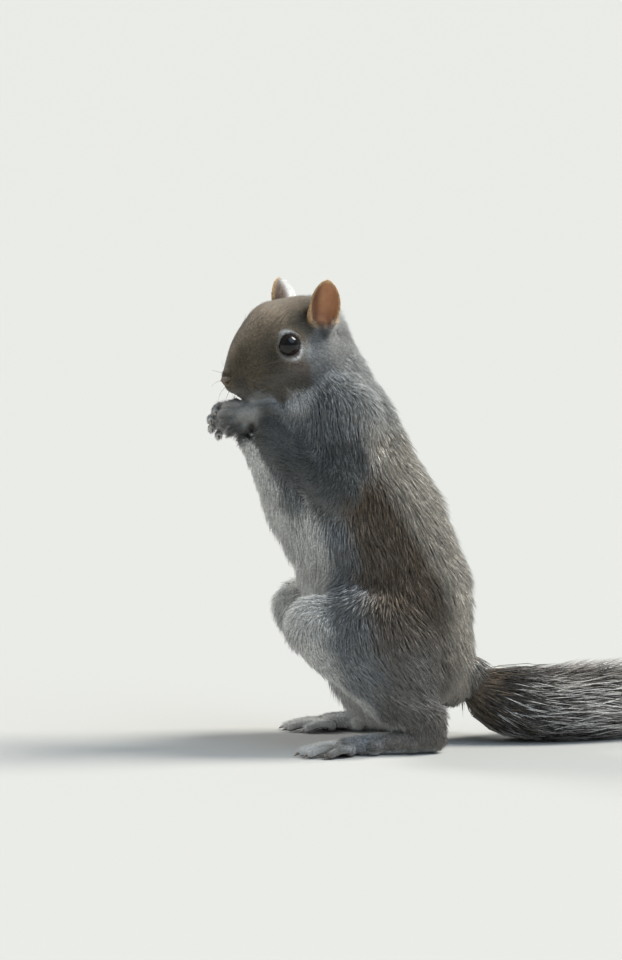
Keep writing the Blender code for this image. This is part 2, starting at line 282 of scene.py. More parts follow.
def evaluated(item: Object) -> Mesh:
    """A new mesh of an object's final shape."""
    graph = bpy.context.evaluated_depsgraph_get()
    return bpy.data.meshes.new_from_object(item.evaluated_get(graph))


def settle(item: Object) -> None:
    """Makes an object's modifiers part of its mesh."""
    mesh = evaluated(item)
    item.modifiers.clear()
    old = item.data
    item.data = mesh
    bpy.data.meshes.remove(old)


def drop(item: Object) -> None:
    """Removes an object."""
    bpy.data.objects.remove(item)


def add_object(shape: BMesh, item: Object) -> None:
    """Adds an object's mesh to a bmesh and removes the object."""
    shape.from_mesh(item.data)
    drop(item)


def finished(item: Object, finish: Material, nodes: tuple[str, ...] = ()) -> None:
    """Gives a finished piece its material and body, and hides the solids that it stands for."""
    item.data.materials.clear()
    item.data.materials.append(finish)
    item.data.shade_smooth()
    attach(item, "root")
    if nodes:
        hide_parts(*nodes)
    log.info("%s: %d faces", item.name, len(item.data.polygons))


def tube(points: list[Vector], radii: list[float], cyclic: bool = False, sides: int = 1) -> Object:
    """A round tube along a smooth line, closed at its ends.

    Args:
        points: The line's points, in metres.
        radii: The tube's radius at each point, in metres.
        cyclic: Whether the line is a closed ring.
        sides: The bevel resolution, which sets how many sides the tube has.

    Returns:
        The tube as a mesh object.
    """
    curve = bpy.data.curves.new("tube", "CURVE")
    curve.dimensions = "3D"
    curve.bevel_depth = 1.0
    curve.bevel_resolution = sides
    curve.use_fill_caps = True
    line = curve.splines.new("POLY")
    line.points.add(len(points) - 1)
    for knot, point, radius in zip(line.points, points, radii):
        knot.co = (*point, 1)
        knot.radius = radius
    line.use_cyclic_u = cyclic
    item = link("tube", curve)
    mesh = evaluated(item)
    drop(item)
    shape = bmesh.new()
    shape.from_mesh(mesh)
    bmesh.ops.remove_doubles(shape, verts=shape.verts, dist=1e-6)
    bmesh.ops.recalc_face_normals(shape, faces=shape.faces)
    return as_object("tube", shape)


def capsule(shape: BMesh, ends: list[tuple[Vector, float]], segments: int = 16) -> None:
    """Adds the hull of a few balls to a bmesh.

    Args:
        shape: The bmesh that takes the hull.
        ends: Each ball's centre and radius, in metres.
        segments: How many segments each ball has.
    """
    balls = bmesh.new()
    for centre, radius in ends:
        made = bmesh.ops.create_uvsphere(balls, u_segments=segments, v_segments=segments // 2, radius=radius)
        bmesh.ops.translate(balls, vec=centre, verts=made["verts"])
    bmesh.ops.delete(balls, geom=balls.edges[:] + balls.faces[:], context="EDGES_FACES")
    made = bmesh.ops.convex_hull(balls, input=balls.verts)
    inner = [item for item in made["geom_interior"] if isinstance(item, bmesh.types.BMVert)]
    bmesh.ops.delete(balls, geom=inner, context="VERTS")
    bmesh.ops.recalc_face_normals(balls, faces=balls.faces)
    add_object(shape, as_object("hull", balls))


def chain(shape: BMesh, balls: list[tuple[Vector, float]], segments: int = 16) -> None:
    """Adds the hull of every two neighbouring balls to a bmesh."""
    for first, second in zip(balls, balls[1:]):
        capsule(shape, [first, second], segments)


def fuse(item: Object, voxel: float, smoothing: int) -> None:
    """Fuses the shapes in an object into one smooth body.

    Args:
        item: The object, which holds closed shapes that overlap.
        voxel: The size of the new surface's faces, in millimetres.
        smoothing: How many times the surface is smoothed.
    """
    remesh = item.modifiers.new("fuse", "REMESH")
    remesh.mode = "VOXEL"
    remesh.voxel_size = voxel * MM
    smooth = item.modifiers.new("smooth", "SMOOTH")
    smooth.factor = 0.5
    smooth.iterations = smoothing
    settle(item)


# ---- the animal's own frame


@dataclass(frozen=True)
class Skull:
    """The head's own frame, which the eyes and everything on the face are placed in.

    The head looks a little to its left and down, and leans over slightly.
    """

    centre: Triple = (0.0, 38.5, 166.5)
    yaw: float = 24.0
    pitch: float = 14.0
    tilt: float = 5.0
    eye: Triple = (12.6, 1.8, -2.6)
    eye_radius: float = 5.2
    nose: Triple = (0.0, 25.9, -9.6)

    def local(self) -> Matrix:
        """The skull's frame in the animal's own directions."""
        return Matrix.Translation(place(*self.centre)) @ turn(self.yaw, self.pitch, self.tilt)

    def shift(self) -> Vector:
        """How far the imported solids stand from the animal's own origin, found at the eyes."""
        found = sum((sum(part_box(f"{side}_eye"), Vector()) / 2 for side in SIDES), Vector()) / 2
        return found - self.local() @ place(0, self.eye[1], self.eye[2])


SKULL = Skull()
SHIFT = SKULL.shift()
SKULL_FRAME = Matrix.Translation(SHIFT) @ SKULL.local()


def body_point(side: float, forward: float, up: float) -> Vector:
    """A point of the body in the frame of the solids."""
    return place(side, forward, up) + SHIFT


def skull_point(side: float, forward: float, up: float) -> Vector:
    """A point of the head in the frame of the solids."""
    return SKULL_FRAME @ place(side, forward, up)


def into(matrix: Matrix, points: Array) -> Array:
    """Points of the solids' frame in another frame, in millimetres."""
    back = np.array(matrix.inverted())
    return (points @ back[:3, :3].T + back[:3, 3]) / MM


def own(points: Array) -> Array:
    """Points of the solids' frame in the animal's own directions, in millimetres."""
    return (points - np.array(SHIFT)) / MM * FLIP


def in_skull(points: Array) -> Array:
    """Points of the solids' frame in the skull's own directions, in millimetres."""
    return into(SKULL_FRAME, points) * FLIP


def on_left(points: Array) -> Array:
    """Points in the animal's or the skull's directions, with those on its right moved to its left."""
    return np.concatenate([np.abs(points[:, :1]), points[:, 1:]], axis=1)


def path_distance(points: Array, path: Rows) -> Array:
    """The distance of points from the nearest stretch of a line through a few places."""
    ends = np.array(path)
    return np.min([segment_distance(points, a, b) for a, b in zip(ends, ends[1:])], axis=0)


def segment_distance(points: Array, first: Array, second: Array) -> Array:
    """The distance of points from a straight line between two ends."""
    line = second - first
    share = np.clip((points - first) @ line / (line @ line), 0, 1)
    return np.linalg.norm(points - first - share[:, None] * line, axis=1)


def turned(vectors: Array, matrix: Matrix) -> Array:
    """Directions given in a frame's own side, forward and up, turned into the solids' frame."""
    spin = np.array(matrix.to_3x3())
    return (vectors * FLIP) @ spin.T


@dataclass(frozen=True)
class TailLine:
    """The line of the tail, an arc that leaves the rump and curves over the floor to one side."""

    root: Triple = (0.0, -34.0, 27.0)
    length: float = 185.0
    bend: float = 75.0
    half_widths: tuple[float, ...] = (9, 14, 21, 27, 31, 32, 30, 26, 19, 9)
    half_heights: tuple[float, ...] = (10, 13, 16, 17.5, 17, 16, 14, 12, 9, 6)
    flesh: float = 0.86
    middle: float = 0.86
    fall: float = 4.0
    core: Pair = (5.6, 3.6)
    core_steps: int = 30
    core_drop: float = 0.15
    core_start: float = -0.05
    core_ease: float = 0.3

    def radius(self) -> float:
        """The arc's radius."""
        return self.length / math.radians(self.bend)

    def bush(self, along: Array) -> tuple[Array, Array]:
        """The half width and half height of the bush at shares of the tail's length."""
        steps = np.linspace(0, 1, len(self.half_widths))
        return np.interp(along, steps, self.half_widths), np.interp(along, steps, self.half_heights)

    def height(self, along: Array) -> Array:
        """How high the middle of the bush is at shares of the tail's length."""
        return np.maximum(self.bush(along)[1] * self.middle, self.root[2] * (1 - self.fall * along))

    def points(self, along: Array) -> Array:
        """Points on the line of the tail, in the animal's own directions."""
        angle = math.radians(self.bend) * along
        side = self.root[0] - self.radius() * (1 - np.cos(angle))
        forward = self.root[1] - self.radius() * np.sin(angle)
        return np.stack([side, forward, self.height(along)], axis=-1)

    def along(self, points: Array) -> Array:
        """The share of the tail's length at which points of the animal lie."""
        side = points[:, 0] - (self.root[0] - self.radius())
        forward = self.root[1] - points[:, 1]
        return np.arctan2(forward, side) / math.radians(self.bend)

    def across(self, along: Array) -> Array:
        """The level direction across the tail at shares of its length."""
        angle = math.radians(self.bend) * along
        return np.stack([np.cos(angle), -np.sin(angle), np.zeros_like(angle)], axis=-1)

    def ahead(self, along: Array) -> Array:
        """The direction along the tail, towards its tip."""
        return self.across(along)[..., [1, 0, 2]] * (1, -1, 1)


TAIL_LINE = TailLine()


# ---- shapes that the skin is fused from


@dataclass(frozen=True)
class Ear:
    """A cupped ear with a rounded rim, on a short funnel that grows out of the head."""

    side: int
    length: float = 21.2
    width: float = 12.0
    depth: float = 5.2
    thickness: float = 0.8
    rim: float = 0.55
    feet: tuple = ((18.0, -16.4, 8.4), (18.0, -16.2, 10.4))
    lean: float = 16.0
    rake: float = 14.0
    facing: float = 68.0
    taper: float = 0.17
    deepening: float = 0.3
    steps: int = 48
    rings: int = 32
    cut: float = -0.01
    root: tuple = (9.0, -15.0, 1.0, 6.5)
    shell_band: tuple = (1.25, 1.05)
    opening_band: tuple = (-2.5, -1.0)
    base_band: tuple = (-9.5, -6.5)
    foot_band: tuple = (-5.0, -8.0)
    inner_band: tuple = (-0.15, 0.3)
    rim_band: tuple = (0.86, 0.98)
    lip_band: tuple = (2.2, 0.8)
    front_band: tuple = (0.0, 4.0)
    funnel: tuple = ((0, 3.4, -9.0, 3.8), (0, 5.6, -5.0, 1.6))
    folds: tuple = (((5.2, 0.9, -9.0, 1.5), (4.9, 1.3, -4.0, 1.25), (4.3, 2.0, 1.5, 0.75)),
                    ((5.6, 0.2, -8.5, 1.2), (6.3, -0.3, -4.2, 1.0), (6.1, 0.2, -0.5, 0.6)))

    def frame(self) -> Matrix:
        """The ear's own frame, whose up runs along the ear and whose forward leaves its opening."""
        side, forward, up = self.feet[self.side < 0]
        stand = Matrix.Translation(place(side * self.side, forward, up)) @ turn(tilt=-self.lean * self.side)
        return SKULL_FRAME @ stand @ turn(pitch=-self.rake) @ turn(yaw=self.facing * self.side)

    def shaped(self, point: Vector) -> Vector:
        """A point of the unit ball moved to the ear's shape: a narrow tip and a deep base."""
        side = point.x * self.width / 2 * (1 - self.taper * max(0.0, point.z) ** 2)
        back = point.y * self.depth * (1 - self.deepening * point.z)
        return Vector((side, back, point.z * self.length / 2)) * MM

    def shell(self) -> Object:
        """The cup: half a ball, shaped and thickened."""
        cup = bmesh.new()
        bmesh.ops.create_uvsphere(cup, u_segments=self.steps, v_segments=self.rings, radius=1)
        front = [vertex for vertex in cup.verts if vertex.co.y < self.cut]
        bmesh.ops.delete(cup, geom=front, context="VERTS")
        for vertex in cup.verts:
            vertex.co = self.shaped(vertex.co)
        bmesh.ops.transform(cup, matrix=self.frame(), verts=cup.verts)
        bmesh.ops.recalc_face_normals(cup, faces=cup.faces)
        bmesh.ops.solidify(cup, geom=cup.faces, thickness=self.thickness * MM)
        bmesh.ops.recalc_face_normals(cup, faces=cup.faces)
        return as_object("shell", cup)

    def edge(self) -> Object:
        """The rounded rim round the opening."""
        angles = [2 * math.pi * step / self.steps for step in range(self.steps)]
        ring = [self.frame() @ self.shaped(Vector((math.sin(a), 0, math.cos(a)))) for a in angles]
        return tube(ring, [self.rim * MM] * len(ring), cyclic=True, sides=2)

    def ball(self, side: float, back: float, up: float, radius: float) -> tuple[Vector, float]:
        """A ball in the ear's own frame, whose side is positive towards the front edge."""
        return self.frame() @ (Vector((-self.side * side, back, up)) * MM), radius * MM

    def faces(self, points: Array, facing: Array) -> Values:
        """Which points lie on the cup's inner side, its outer side, its rim, its foot and its front.

        Args:
            points: Points of the skin, in metres.
            facing: The skin's normals there.

        Returns:
            The share of each point in each of these, by name.
        """
        local = into(self.frame(), points)
        ways = facing @ np.array(self.frame().inverted())[:3, :3].T
        sizes = np.array((self.width / 2, self.depth, self.length / 2))
        near = rise(np.linalg.norm(local / (sizes + 1.0), axis=1), *self.shell_band)
        near *= rise(local[:, 1], *self.opening_band)
        foot = near * rise(local[:, 2], *self.foot_band)
        near *= rise(local[:, 2], *self.base_band)
        inner = rise(-np.sum(unit(local / sizes**2) * ways, axis=1), *self.inner_band)
        rim = near * rise(np.hypot(local[:, 0] / sizes[0], local[:, 2] / sizes[2]), *self.rim_band)
        rim *= rise(local[:, 1], *self.lip_band)
        front = rise(-self.side * local[:, 0], *self.front_band)
        return {"inner": near * inner * (1 - rim), "outer": near * (1 - inner) * (1 - rim), "rim": rim,
                "foot": foot, "front": front}

    def build(self, whole: BMesh) -> None:
        """Adds the cup, its rim, its folds and the funnel at its foot to the shapes that become the skin."""
        for item in (self.shell(), self.edge()):
            add_object(whole, item)
        for line in self.folds:
            chain(whole, [self.ball(*ball) for ball in line], 12)
        side, forward, up, radius = self.root
        deep = (skull_point(side * self.side, forward, up), radius * MM)
        capsule(whole, [deep] + [self.ball(*ball) for ball in self.funnel])


@dataclass(frozen=True)
class Digit:
    """A finger or toe: where its root is, how far forward its tip is, and its splay."""

    side: float
    root: float
    tip: float
    splay: float


@dataclass(frozen=True)
class Paw:
    """A forepaw or hind foot: lobes for the palm and its pads, and jointed digits with claws.

    Lobes are (side, forward, up, radius); its joints are (share of the way, drop, size).
    """

    name: str
    lobes: Rows
    pads: Rows
    digits: tuple[Digit, ...]
    joints: tuple[Triple, ...]
    radius: float
    drop: float
    root_height: float
    claw: float
    joint: Rows
    frame: Matrix = field(default_factory=Matrix)
    hook: float = 0.55
    claw_width: float = 0.62
    claw_tip: float = 0.1
    claw_steps: int = 7
    claw_root: float = 0.45
    claw_curve: float = 0.8
    palm: Triple = (0.6, 1.0, 0.6)

    def point(self, side: float, forward: float, up: float) -> Vector:
        """A point of the paw in the frame of the solids."""
        return self.frame @ place(side, forward, up)

    def joint_points(self, digit: Digit) -> list[tuple[Vector, float]]:
        """The centres and radii of a digit's joints, from its root to its tip."""
        reach = digit.tip - self.radius - digit.root
        spread = math.tan(math.radians(digit.splay)) * (digit.tip - digit.root)
        found = []
        for share, drop, size in self.joints:
            up = self.root_height + self.drop * drop
            point = self.point(digit.side + spread * share, digit.root + reach * share, up)
            found.append((point, self.radius * size * MM))
        return found

    def build(self, whole: BMesh) -> None:
        """Adds the paw to the shapes that become the skin, with the joint that it hangs from."""
        capsule(whole, [(body_point(*ball[:3]), ball[3] * MM) for ball in self.joint])
        chain(whole, [(self.point(*lobe[:3]), lobe[3] * MM) for lobe in self.lobes])
        for pad in self.pads:
            capsule(whole, [(self.point(*pad[:3]), pad[3] * MM)], 12)
        knuckles = self.lobes[-1]
        inward, back, under = self.palm
        for digit in self.digits:
            inner = self.point(digit.side * inward, knuckles[1] - back, self.root_height - under)
            chain(whole, [(inner, self.radius * MM)] + self.joint_points(digit), 12)

    def claws(self, finish: Material) -> None:
        """Makes the paw's claws: curved tapering tubes that point ahead and down."""
        whole = bmesh.new()
        for digit in self.digits:
            before, last = (Vector(joint[0]) for joint in self.joint_points(digit)[-2:])
            ahead = (last - before).normalized()
            down = (self.frame.to_3x3() @ Vector((0, 0, -1))).normalized()
            steps = [step / self.claw_steps for step in range(self.claw_steps + 1)]
            line = []
            for step in steps:
                bow = ahead * (self.claw * step) + down * (self.claw * self.hook * step * step)
                line.append(last + ahead * self.radius * self.claw_root * MM + bow * MM)
            radii = [(self.claw_width * (1 - s) ** self.claw_curve + self.claw_tip) * MM for s in steps]
            add_object(whole, tube(line, radii, sides=2))
        item = as_object(f"{self.name}_claws", whole)
        points = positions(item.data)
        roots = [np.array(self.joint_points(digit)[-1][0]) for digit in self.digits]
        reach = np.min([np.linalg.norm(points - root, axis=1) for root in roots], axis=0)
        Tufts.store(item.data, "along", np.clip(reach / (self.claw * MM), 0, 1))
        nodes = tuple(f"{self.name}_claw_{number}" for number in range(1, len(self.digits) + 1))
        finished(item, finish, nodes)


WRISTS = {"left": (44.3, 137.2), "right": (48.3, 134.6)}


def forepaw(name: str, side: int) -> Paw:
    """A forepaw, which points forward from the wrist with its palm turned to the other one."""
    ahead, high = WRISTS[name]
    wrist = Matrix.Translation(body_point(8.4 * side, ahead, high))
    return Paw(
        name=f"{name}_forepaw",
        lobes=((0, -8, -3.0, 4.6), (-0.4, -3, -0.4, 4.6), (-0.4, 4, -0.2, 4.4), (0, 9.0, 0, 3.9)),
        pads=((-3.9, 8.8, -1.6, 2.7), (0, 9.2, -1.9, 2.8), (3.9, 8.8, -1.6, 2.7), (-2.8, 1.0, -2.9, 2.1),
              (2.8, 1.0, -2.9, 2.1), (-3.2, -3.0, -0.6, 3.6), (-3.4, 3.0, -0.4, 3.4)),
        digits=(Digit(-5.5, 10.0, 16.0, 2), Digit(-1.9, 11.8, 18.4, 0), Digit(1.9, 11.8, 18.4, 0),
                Digit(5.5, 10.0, 16.0, -2)),
        joints=((0, 0, 1.08), (0.5, -0.05, 1.0), (0.9, 0.4, 0.98), (1.0, 1.0, 1.0)),
        radius=1.5,
        drop=-5.2,
        root_height=0.9,
        claw=2.3,
        joint=((8.6 * side, ahead, high - 1.8, 4.6), (10 * side, ahead - 4.5, high - 5.5, 4.8),
               (14 * side, 35, 123, 5.4)),
        frame=wrist @ turn(yaw=-3 * side, pitch=9) @ turn(tilt=-76 * side),
    )


def hind_foot(name: str, side: int) -> Paw:
    """A hind foot, flat on the floor from its heel to its five toes."""
    heel = Matrix.Translation(body_point(33 * side, -22, 0))
    return Paw(
        name=f"{name}_hind_foot",
        lobes=((0, -1, 5.0, 4.6), (0, 12, 4.6, 4.4), (-1.2, 24, 4.3, 4.2), (0, 36, 3.7, 3.6)),
        pads=((-4.6, 35, 2.7, 2.6), (-1.6, 37.5, 2.7, 2.6), (1.6, 37.5, 2.7, 2.6), (4.6, 35, 2.7, 2.6),
              (2.6, 24, 3.6, 3.4), (3.0, 8, 3.6, 3.0)),
        digits=(Digit(-7.0, 37, 46, -16), Digit(-3.8, 41, 53.4, -8), Digit(0, 42, 55.4, 0),
                Digit(3.8, 41, 53.4, 8), Digit(7.0, 37, 46, 16)),
        joints=((0, -0.2, 1.05), (0.35, -0.35, 0.98), (0.72, 0.3, 0.92), (1.0, 1.0, 0.98)),
        radius=1.75,
        drop=-1.25,
        root_height=3.1,
        claw=2.9,
        joint=((33 * side, -23, 5.4, 4.9), (33 * side, -18, 6, 4.9), (33 * side, -20, 15, 7.0)),
        frame=heel @ turn(yaw=9 * side),
        hook=0.08,
    )


@dataclass(frozen=True)
class Eye:
    """An eye: a ball in its socket, with lids that leave a nearly round opening."""

    side: int
    opening: float = 55.0
    corner: float = 6.0
    corner_power: int = 6
    lid: float = 0.62
    outward: Triple = (1.0, 0.16, 0.1)
    droop: float = 0.22
    mound: tuple = ((-2.1, 6.75), (-5.0, 8.2))
    steps: int = 40
    lid_rest: float = 0.55
    lid_turn: float = 6.0
    edge_band: tuple = (5.0, -2.0)
    widest: float = 115.0
    bulge: float = 0.035
    bulge_turn: float = 1.6
    lap: float = 0.45
    sink: float = 1.2
    reach: float = 4.0
    segments: tuple[int, int] = (56, 40)

    def centre(self) -> Vector:
        """The middle of the ball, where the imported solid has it."""
        low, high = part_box("left_eye" if self.side > 0 else "right_eye")
        return (low + high) / 2

    def frame(self) -> Matrix:
        """The eye's own frame: its Z leaves the opening, and its X points to the front corner."""
        side, forward, up = self.outward
        axis = (SKULL_FRAME.to_3x3() @ place(side * self.side, forward, up)).normalized()
        front = SKULL_FRAME.to_3x3() @ place(0, 1, -self.droop)
        front = (front - axis * front.dot(axis)).normalized()
        spin = Matrix((front, axis.cross(front), axis)).transposed()
        return Matrix.Translation(self.centre()) @ spin.to_4x4()

    def half_opening(self, around: Array) -> Array:
        """How far from its axis the opening's edge is, in radians, round the eye from the front corner."""
        return np.radians(self.opening + self.corner * np.abs(np.cos(around)) ** self.corner_power)

    def socket(self, whole: BMesh) -> None:
        """Adds the low mound that carries the lids to the shapes that become the skin."""
        balls = [(self.frame() @ (Vector((0, 0, depth)) * MM), radius * MM) for depth, radius in self.mound]
        capsule(whole, balls, 32)

    def lids(self) -> Object:
        """The lids' thick edge, as a ring that lies on the ball."""
        reach = (SKULL.eye_radius + self.lid * self.lid_rest) * MM
        ring = []
        for step in range(self.steps):
            around = 2 * math.pi * step / self.steps
            angle = float(self.half_opening(np.array(around))) + math.radians(self.lid_turn)
            local = (math.sin(angle) * math.cos(around), math.sin(angle) * math.sin(around), math.cos(angle))
            ring.append(self.frame() @ (Vector(local) * reach))
        return tube(ring, [self.lid * MM] * len(ring), cyclic=True, sides=2)

    def polar(self, points: Array) -> tuple[Array, Array, Array]:
        """Where points are about the eye: their distance in millimetres, and two angles."""
        local = into(self.frame(), points)
        distance = np.linalg.norm(local, axis=1)
        angle = np.arccos(np.clip(local[:, 2] / np.maximum(distance, 1e-9), -1, 1))
        return distance, angle, np.arctan2(local[:, 1], local[:, 0])

    def open_skin(self, points: Array) -> Array:
        """Moves the points of the skin that would cover the ball inside it, and lays the rest on it."""
        distance, angle, around = self.polar(points)
        centre = np.array(self.centre())
        outward = unit(points - centre)
        edge = self.half_opening(around)
        near = distance < SKULL.eye_radius + self.reach
        inside = rise(angle, *(edge + math.radians(bound) for bound in self.edge_band))
        around_ball = np.maximum(distance, SKULL.eye_radius + self.lap)
        target = around_ball + (SKULL.eye_radius - self.sink - around_ball) * inside
        laid = centre + outward * target[:, None] * MM
        moved = near & (angle < math.radians(self.widest))
        return np.where(moved[:, None], laid, points)

    def ball(self, name: str, finish: Material) -> None:
        """Makes the eyeball, with a slightly bulging cornea."""
        ball = bmesh.new()
        around, rings = self.segments
        bmesh.ops.create_uvsphere(ball, u_segments=around, v_segments=rings, radius=SKULL.eye_radius * MM)
        out = []
        for vertex in ball.verts:
            angle = vertex.co.angle((0, 0, 1))
            vertex.co *= 1 + self.bulge * max(0.0, math.cos(min(angle * self.bulge_turn, math.pi / 2)))
            out.append(angle / math.pi)
        bmesh.ops.transform(ball, matrix=self.frame(), verts=ball.verts)
        item = as_object(f"{name}_eyeball", ball)
        Tufts.store(item.data, "out", np.array(out))
        finished(item, finish, (f"{name}_eye",))


# ---- skin


class Pelt(NamedTuple):
    """The coat of one part of the body, in millimetres, degrees and tufts for each square millimetre."""

    depth: float
    length: float
    lift: float
    width: float
    density: float


PELTS = {
    "head": Pelt(1.5, 4.2, 22, 0.13, 9.0),
    "lower_jaw": Pelt(0.8, 4.0, 20, 0.13, 9.0),
    "neck": Pelt(4.0, 9.5, 22, 0.21, 3.2),
    "chest": Pelt(4.6, 11.0, 22, 0.23, 2.0),
    "belly": Pelt(5.0, 12.0, 22, 0.25, 1.6),
    "rump": Pelt(5.0, 12.0, 22, 0.25, 1.6),
    "upper_arm": Pelt(3.8, 9.5, 20, 0.22, 2.3),
    "forearm": Pelt(1.9, 5.6, 18, 0.18, 4.2),
    "thigh": Pelt(4.6, 11.0, 16, 0.25, 1.8),
    "shank": Pelt(2.3, 6.2, 18, 0.19, 3.4),
    "forepaw": Pelt(0.0, 2.0, 16, 0.10, 11.0),
    "hind_foot": Pelt(0.0, 2.6, 22, 0.12, 7.5),
    "ear": Pelt(0.0, 1.7, 20, 0.08, 9.0),
    "tail": Pelt(0.0, 30.0, 40, 0.24, 4.0),
}
MUZZLE = Pelt(0.0, 1.8, 18, 0.10, 13.0)
HAND = Pelt(0.0, 2.6, 25, 0.10, 11.0)
HAND_LINE = ((13.0, 36.0, 125.0), (9.5, 41.0, 132.0), (8.4, 54.0, 136.0))
EYE_RING = Pelt(0.5, 1.4, 16, 0.09, 15.0)
EAR_PELTS = {
    "inner": Pelt(0.0, 1.4, 12, 0.045, 4.0),
    "outer": Pelt(0.0, 2.2, 26, 0.09, 11.0),
    "rim": Pelt(0.0, 1.1, 30, 0.06, 12.0),
    "foot": Pelt(0.0, 3.6, 38, 0.09, 11.0),
}


def kind(node: str) -> str:
    """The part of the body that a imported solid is, without its side."""
    name = node.removeprefix("left_").removeprefix("right_")
    return "tail" if name.startswith("tail") else name


class NodeFinder:
    """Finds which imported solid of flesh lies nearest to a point."""

    def __init__(self, nodes: tuple[str, ...]) -> None:
        """Gathers the solids' faces into one search tree.

        Args:
            nodes: The names of the solids.
        """
        whole = bmesh.new()
        self.nodes = nodes
        owner = []
        for number, node in enumerate(nodes):
            whole.from_mesh(frame["nodes"][node].data)
            owner += [number] * (len(whole.faces) - len(owner))
        self.owner = np.array(owner)
        self.tree = BVHTree.FromBMesh(whole)
        whole.free()

    def find(self, points: Array) -> Array:
        """The number of the nearest solid for each point."""
        faces = [self.tree.find_nearest(Vector(point))[2] for point in points]
        return self.owner[np.array(faces)]


@dataclass
class Skin:
    """One skin for the whole animal, which lies inside the solids by the depth of the coat."""

    coarse: float = 1.0
    fine: float = 0.55
    faces: int = 185_000
    soft: tuple = (((15.0, 14.0, 141.0), 21.0, 1.0), ((31.0, -10.0, 66.0), 22.0, 0.6))
    breast: tuple = ((0, 41.5, 121, 8.0), (0, 34.6, 110, 10.5), (0, 28, 99, 12.0), (0, 22, 88, 12.0))
    snout: tuple = ((0, 23.9, -8.7, 3.6), (2.6, 22.4, -12.6, 3.6), (-2.6, 22.4, -12.6, 3.6))
    jaw: tuple = ((0, 18.0, -19.3, 3.4), (0, 13.0, -21.0, 4.6), (0, 6.0, -23.0, 6.5), (0, -2.0, -24.0, 8.0))
    mouth: tuple = ((0.0, 26.2, -16.6), (4.4, 22.8, -17.4), (6.9, 17.5, -17.6), (8.0, 12.0, -16.0))
    cleft: tuple = ((0, 28.0, -11.2), (0, 26.2, -16.6))
    swell: float = 0.3
    passes: int = 4
    smoothing: tuple[int, int] = (14, 3)
    pelt_rounds: int = 24
    ease_rounds: int = 70
    muzzle_band: tuple = (4.0, 17.0)
    nape_band: tuple = (-8.0, -26.0)
    nape_share: float = 0.5
    wrist: tuple = ((8.0, 45.0, 128.0), 16.0, 8.0)
    wrist_heights: tuple = (118.0, 124.0)
    wrist_trim: tuple = (0.6, 2.2)
    bib: tuple = ((0.0, 48.0, 116.0), 14.0, 7.0)
    bib_trim: float = 0.35
    hand_band: tuple = (9.5, 7.0)
    seat_bands: tuple = ((40.0, 15.0), (-20.0, -30.0))
    seat_trim: float = 0.7
    eye_band: tuple = (10.5, 6.6)
    face: tuple = ((0, 16, -12), 25)
    mouth_groove: tuple = (0.9, 0.75)
    cleft_groove: tuple = (0.6, 0.5)

    def __post_init__(self) -> None:
        """Prepares the eyes and paws that the skin is shaped round, and the search for the nearest solid."""
        self.eyes = {name: Eye(side) for name, side in SIDES.items()}
        self.paws = [make(name, side) for name, side in SIDES.items() for make in (forepaw, hind_foot)]
        self.finder = NodeFinder(FLESH)
        self.kinds = [kind(node) for node in FLESH]

    def pelts(self, points: Array, edges: Array, rounds: int) -> Array:
        """The coat's numbers at points of the surface, evened out across the body's divisions.

        Args:
            points: The vertices of the surface, in metres.
            edges: Its edges.
            rounds: How far the numbers are evened out.

        Returns:
            One row of depth, length, lift, width and density for each point.
        """
        owner = self.finder.find(points)
        rows = np.array([PELTS[name] for name in self.kinds])[owner]
        forward = in_skull(points)[:, 1]
        head = np.isin(owner, [self.kinds.index("head"), self.kinds.index("lower_jaw")])
        rows = toward(rows, MUZZLE, rise(forward, *self.muzzle_band) * head)
        rows = toward(rows, PELTS["neck"], self.nape_share * (rise(forward, *self.nape_band) * head))
        rows = blur(rows, edges, rounds)
        folded = on_left(own(points))
        wrist = nearness(folded, *self.wrist) * rise(folded[:, 2], *self.wrist_heights)
        trim, shortest = self.wrist_trim
        rows[:, 1] -= trim * wrist * np.maximum(rows[:, 1] - shortest, 0.0)
        rows[:, 1] *= 1 - self.bib_trim * nearness(folded, *self.bib)
        rows[:, 1:] = toward(rows[:, 1:], HAND[1:], rise(path_distance(folded, HAND_LINE), *self.hand_band))
        seat = rise(folded[:, 2], *self.seat_bands[0]) * rise(folded[:, 1], *self.seat_bands[1])
        on_tail = np.array(self.kinds)[owner] == "tail"
        longest = np.where(on_tail, PELTS["tail"].length, PELTS["rump"].length * (1 - self.seat_trim * seat))
        rows[:, 1] = np.minimum(rows[:, 1], longest)
        for eye in self.eyes.values():
            rows = toward(rows, EYE_RING, rise(eye.polar(points)[0], *self.eye_band))
        return rows

    def trunk(self) -> Object:
        """The head, neck, trunk and legs, drawn in by the coat's depth."""
        shape = bmesh.new()
        for node in TRUNK + LIMB_NODES:
            shape.from_mesh(frame["nodes"][node].data)
        bmesh.ops.remove_doubles(shape, verts=shape.verts, dist=1e-6)
        shape.normal_update()
        for vertex in shape.verts:
            vertex.co += vertex.normal * self.swell * MM
        item = as_object("trunk", shape)
        fuse(item, self.coarse, self.smoothing[0])
        edges = edges_of(item.data)
        depth = self.pelts(positions(item.data), edges, self.pelt_rounds)[:, :1]
        for _ in range(self.passes):
            points = positions(item.data) - normals(item.data) * depth * MM / self.passes
            points = blur(points, edges, 1)
            set_positions(item.data, points)
        set_positions(item.data, self.eased(points, edges))
        return item

    def eased(self, points: Array, edges: Array) -> Array:
        """Points evened out where the neck meets the shoulders and the thighs meet the flanks."""
        smooth = blur(points, edges, self.ease_rounds)
        folded = on_left(own(points))
        weight = np.zeros(len(points))
        for centre, radius, share in self.soft:
            weight = np.maximum(weight, share * nearness(folded, centre, radius, radius / 2))
        return points + (smooth - points) * weight[:, None]

